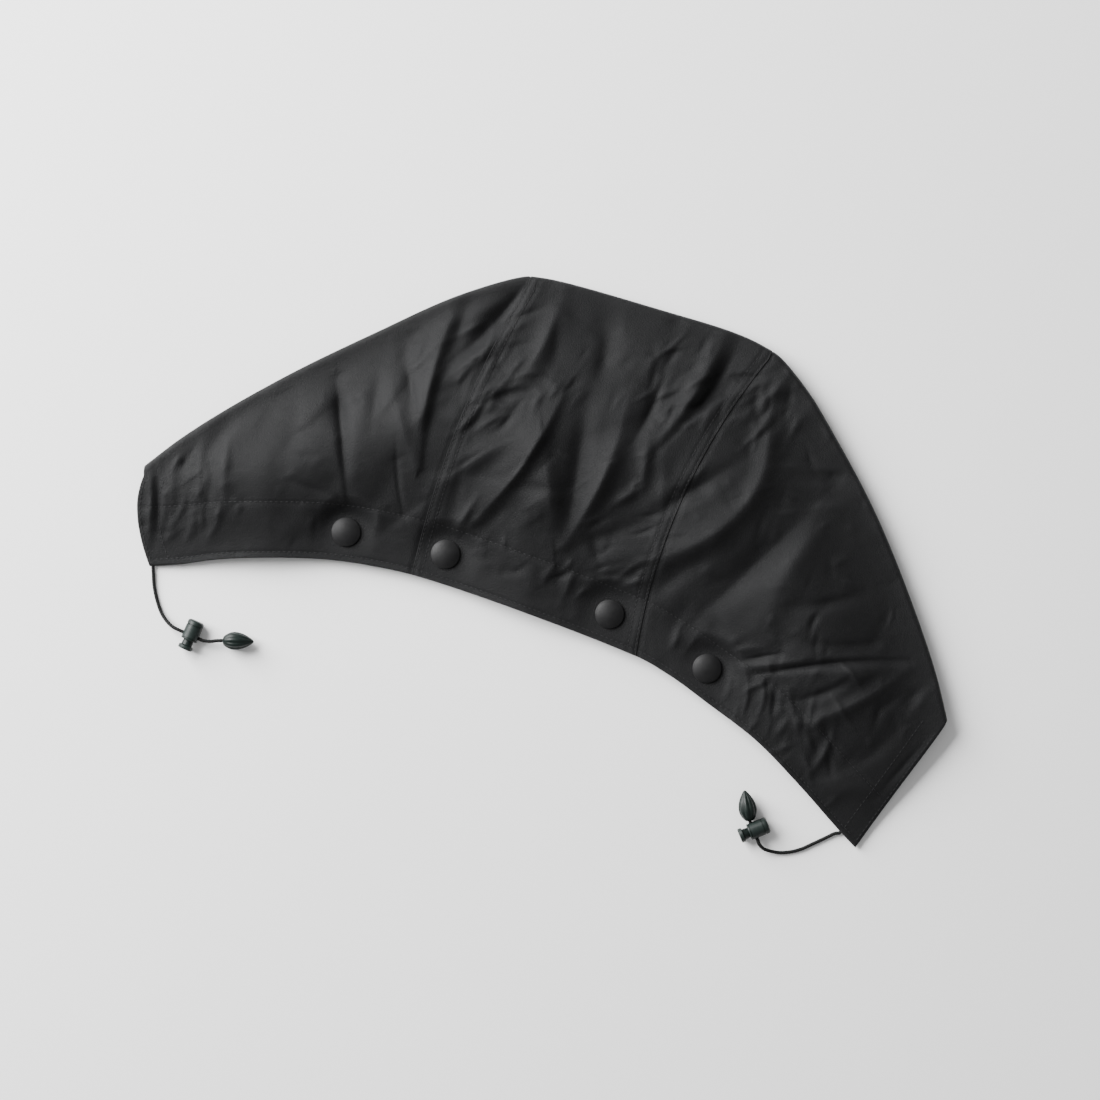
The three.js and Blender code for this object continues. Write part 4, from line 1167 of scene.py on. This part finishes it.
def down(at, start, stop):
    """Distances from the neck edge down one line of the cloth, closely spaced."""
    return np.linspace(start, float(cloth_lines(np.array(at))["back"]) - stop, line_points)


def stitched_beside(name, at, inwards, rows, distance):
    """Rows of stitches beside one line of the cloth, on the side towards the hood's middle."""
    return stitched(name, [(beside_line(at, inwards * row, distance), distance) for row in rows])


for side, seam_at, inwards in (("left", left_seam_at, 1), ("right", right_seam_at, -1)):
    stitched_beside(
        f"seam_stitches_{side}", seam_at, inwards, seam_rows, down(seam_at, 0.002, 0.0015))
along = np.linspace(row_start, 1 - row_start, row_points)
edge_stitches = stitched("neck_edge_stitches", [(along, np.full(row_points, edge_stitch))])
facing_stitches = stitched("facing_stitches", [(along, np.full(row_points, band_width))])
for side, end_at, inwards in (("left", 0.0, 1), ("right", 1.0, -1)):
    stitched_beside(
        f"casing_stitches_{side}", end_at, inwards, casing_rows, down(end_at, 0.003, 0.003))

# Snaps
# Four ring snaps fasten the hood to a collar. Each has a domed cap of black lacquered brass with
# a rolled rim on top, and a dark socket underneath, riveted together through cloth and facing.
cap_profile = np.array([
    (-0.0030, 0.0), (-0.0030, 0.0018), (0.0, 0.0018), (0.0, 0.0080), (0.00008, 0.00835), (0.00025, 0.00858),
    (0.00048, 0.00870), (0.00075, 0.00866), (0.00098, 0.00848), (0.00112, 0.00820), (0.00120, 0.00790),
    (0.00140, 0.00750), (0.00172, 0.00680), (0.00204, 0.00590), (0.00234, 0.00490), (0.00260, 0.00380),
    (0.00280, 0.00270), (0.00293, 0.00160), (0.00299, 0.00070), (0.00300, 0.0),
])
socket_profile = np.array([
    (0.0030, 0.0), (0.0030, 0.0034), (0.0028, 0.0038), (0.0004, 0.0038), (0.0, 0.0042), (0.0, 0.0055),
    (0.0003, 0.0060), (0.0008, 0.0063), (0.0036, 0.0063), (0.0041, 0.0061), (0.0045, 0.0056), (0.0045, 0.0),
])
cap_clearance = 0.0003
snap_sides = 72

cap_material = mottled(
    "black lacquered cap", 180.0, ((0.0032, 0.0032, 0.0035), (0.006, 0.006, 0.0064)),
    roughness=(0.48, 0.60), relief=(0.00004, 0.5), grain=6000.0,
    worn=((0.04, 0.039, 0.038), 0.53, 0.66), plain={"Specular IOR Level": 0.22})
socket_material = mottled(
    "dark plated socket", 420.0, ((0.07, 0.07, 0.07), (0.14, 0.138, 0.13)),
    roughness=(0.28, 0.5), relief=(0.00003, 0.3), plain={"Metallic": 1.0})

for number, (snap_x, snap_y) in enumerate(snap_places, start=1):
    cap_place = (snap_x, snap_y, seat_height + cap_clearance)
    cap = new_piece(
        f"snap_dome_{number}", *spun(cap_profile, snap_sides, cap_place, (0, 0, 1)), sharp_angle=60)
    cap.data.materials.append(cap_material)
    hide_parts(f"snap_cap_{number}")
    socket = new_piece(
        f"snap_ring_{number}", *spun(socket_profile, snap_sides, (snap_x, snap_y, 0), (0, 0, 1)),
        sharp_angle=45)
    socket.data.materials.append(socket_material)
    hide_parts(f"snap_socket_{number}")

# Floor and light
# A pale table top, with one broad soft light from the upper left of the picture and a weak fill
# from all round.
floor_half = 3.0
floor_data = bpy.data.meshes.new("floor")
floor_data.from_pydata(
    [(-floor_half, -floor_half, 0), (floor_half, -floor_half, 0), (floor_half, floor_half, 0),
     (-floor_half, floor_half, 0)], [], [(0, 1, 2, 3)])
floor = bpy.data.objects.new("floor", floor_data)
bpy.context.scene.collection.objects.link(floor)
floor_data.materials.append(mottled(
    "pale floor", 6.0, ((0.87, 0.87, 0.87), (0.89, 0.89, 0.89)), plain={"Roughness": 0.9}))

# The light is square. Its place is given in the picture's own directions, and it looks at the
# middle of the picture.
light_size = 1.5
light_power = 185
light_right = -1.36
light_up = 0.92
light_height = 0.96
room_brightness = 0.46
light_data = bpy.data.lights.new("window", "AREA")
light_data.shape = "SQUARE"
light_data.size = light_size
light_data.energy = light_power
light = bpy.data.objects.new("window", light_data)
light.location = (
    picture_centre[0] + light_right * math.cos(picture_turn) - light_up * math.sin(picture_turn),
    picture_centre[1] + light_right * math.sin(picture_turn) + light_up * math.cos(picture_turn),
    light_height)
light.rotation_euler = (
    math.atan2(math.hypot(light_right, light_up), light_height), 0,
    math.atan2(light_up, light_right) + picture_turn + math.pi / 2)
bpy.context.scene.collection.objects.link(light)

world = bpy.data.worlds.new("soft room")
world.use_nodes = True
world.node_tree.nodes["Background"].inputs["Color"].default_value = (1, 1, 1, 1)
world.node_tree.nodes["Background"].inputs["Strength"].default_value = room_brightness
bpy.context.scene.world = world
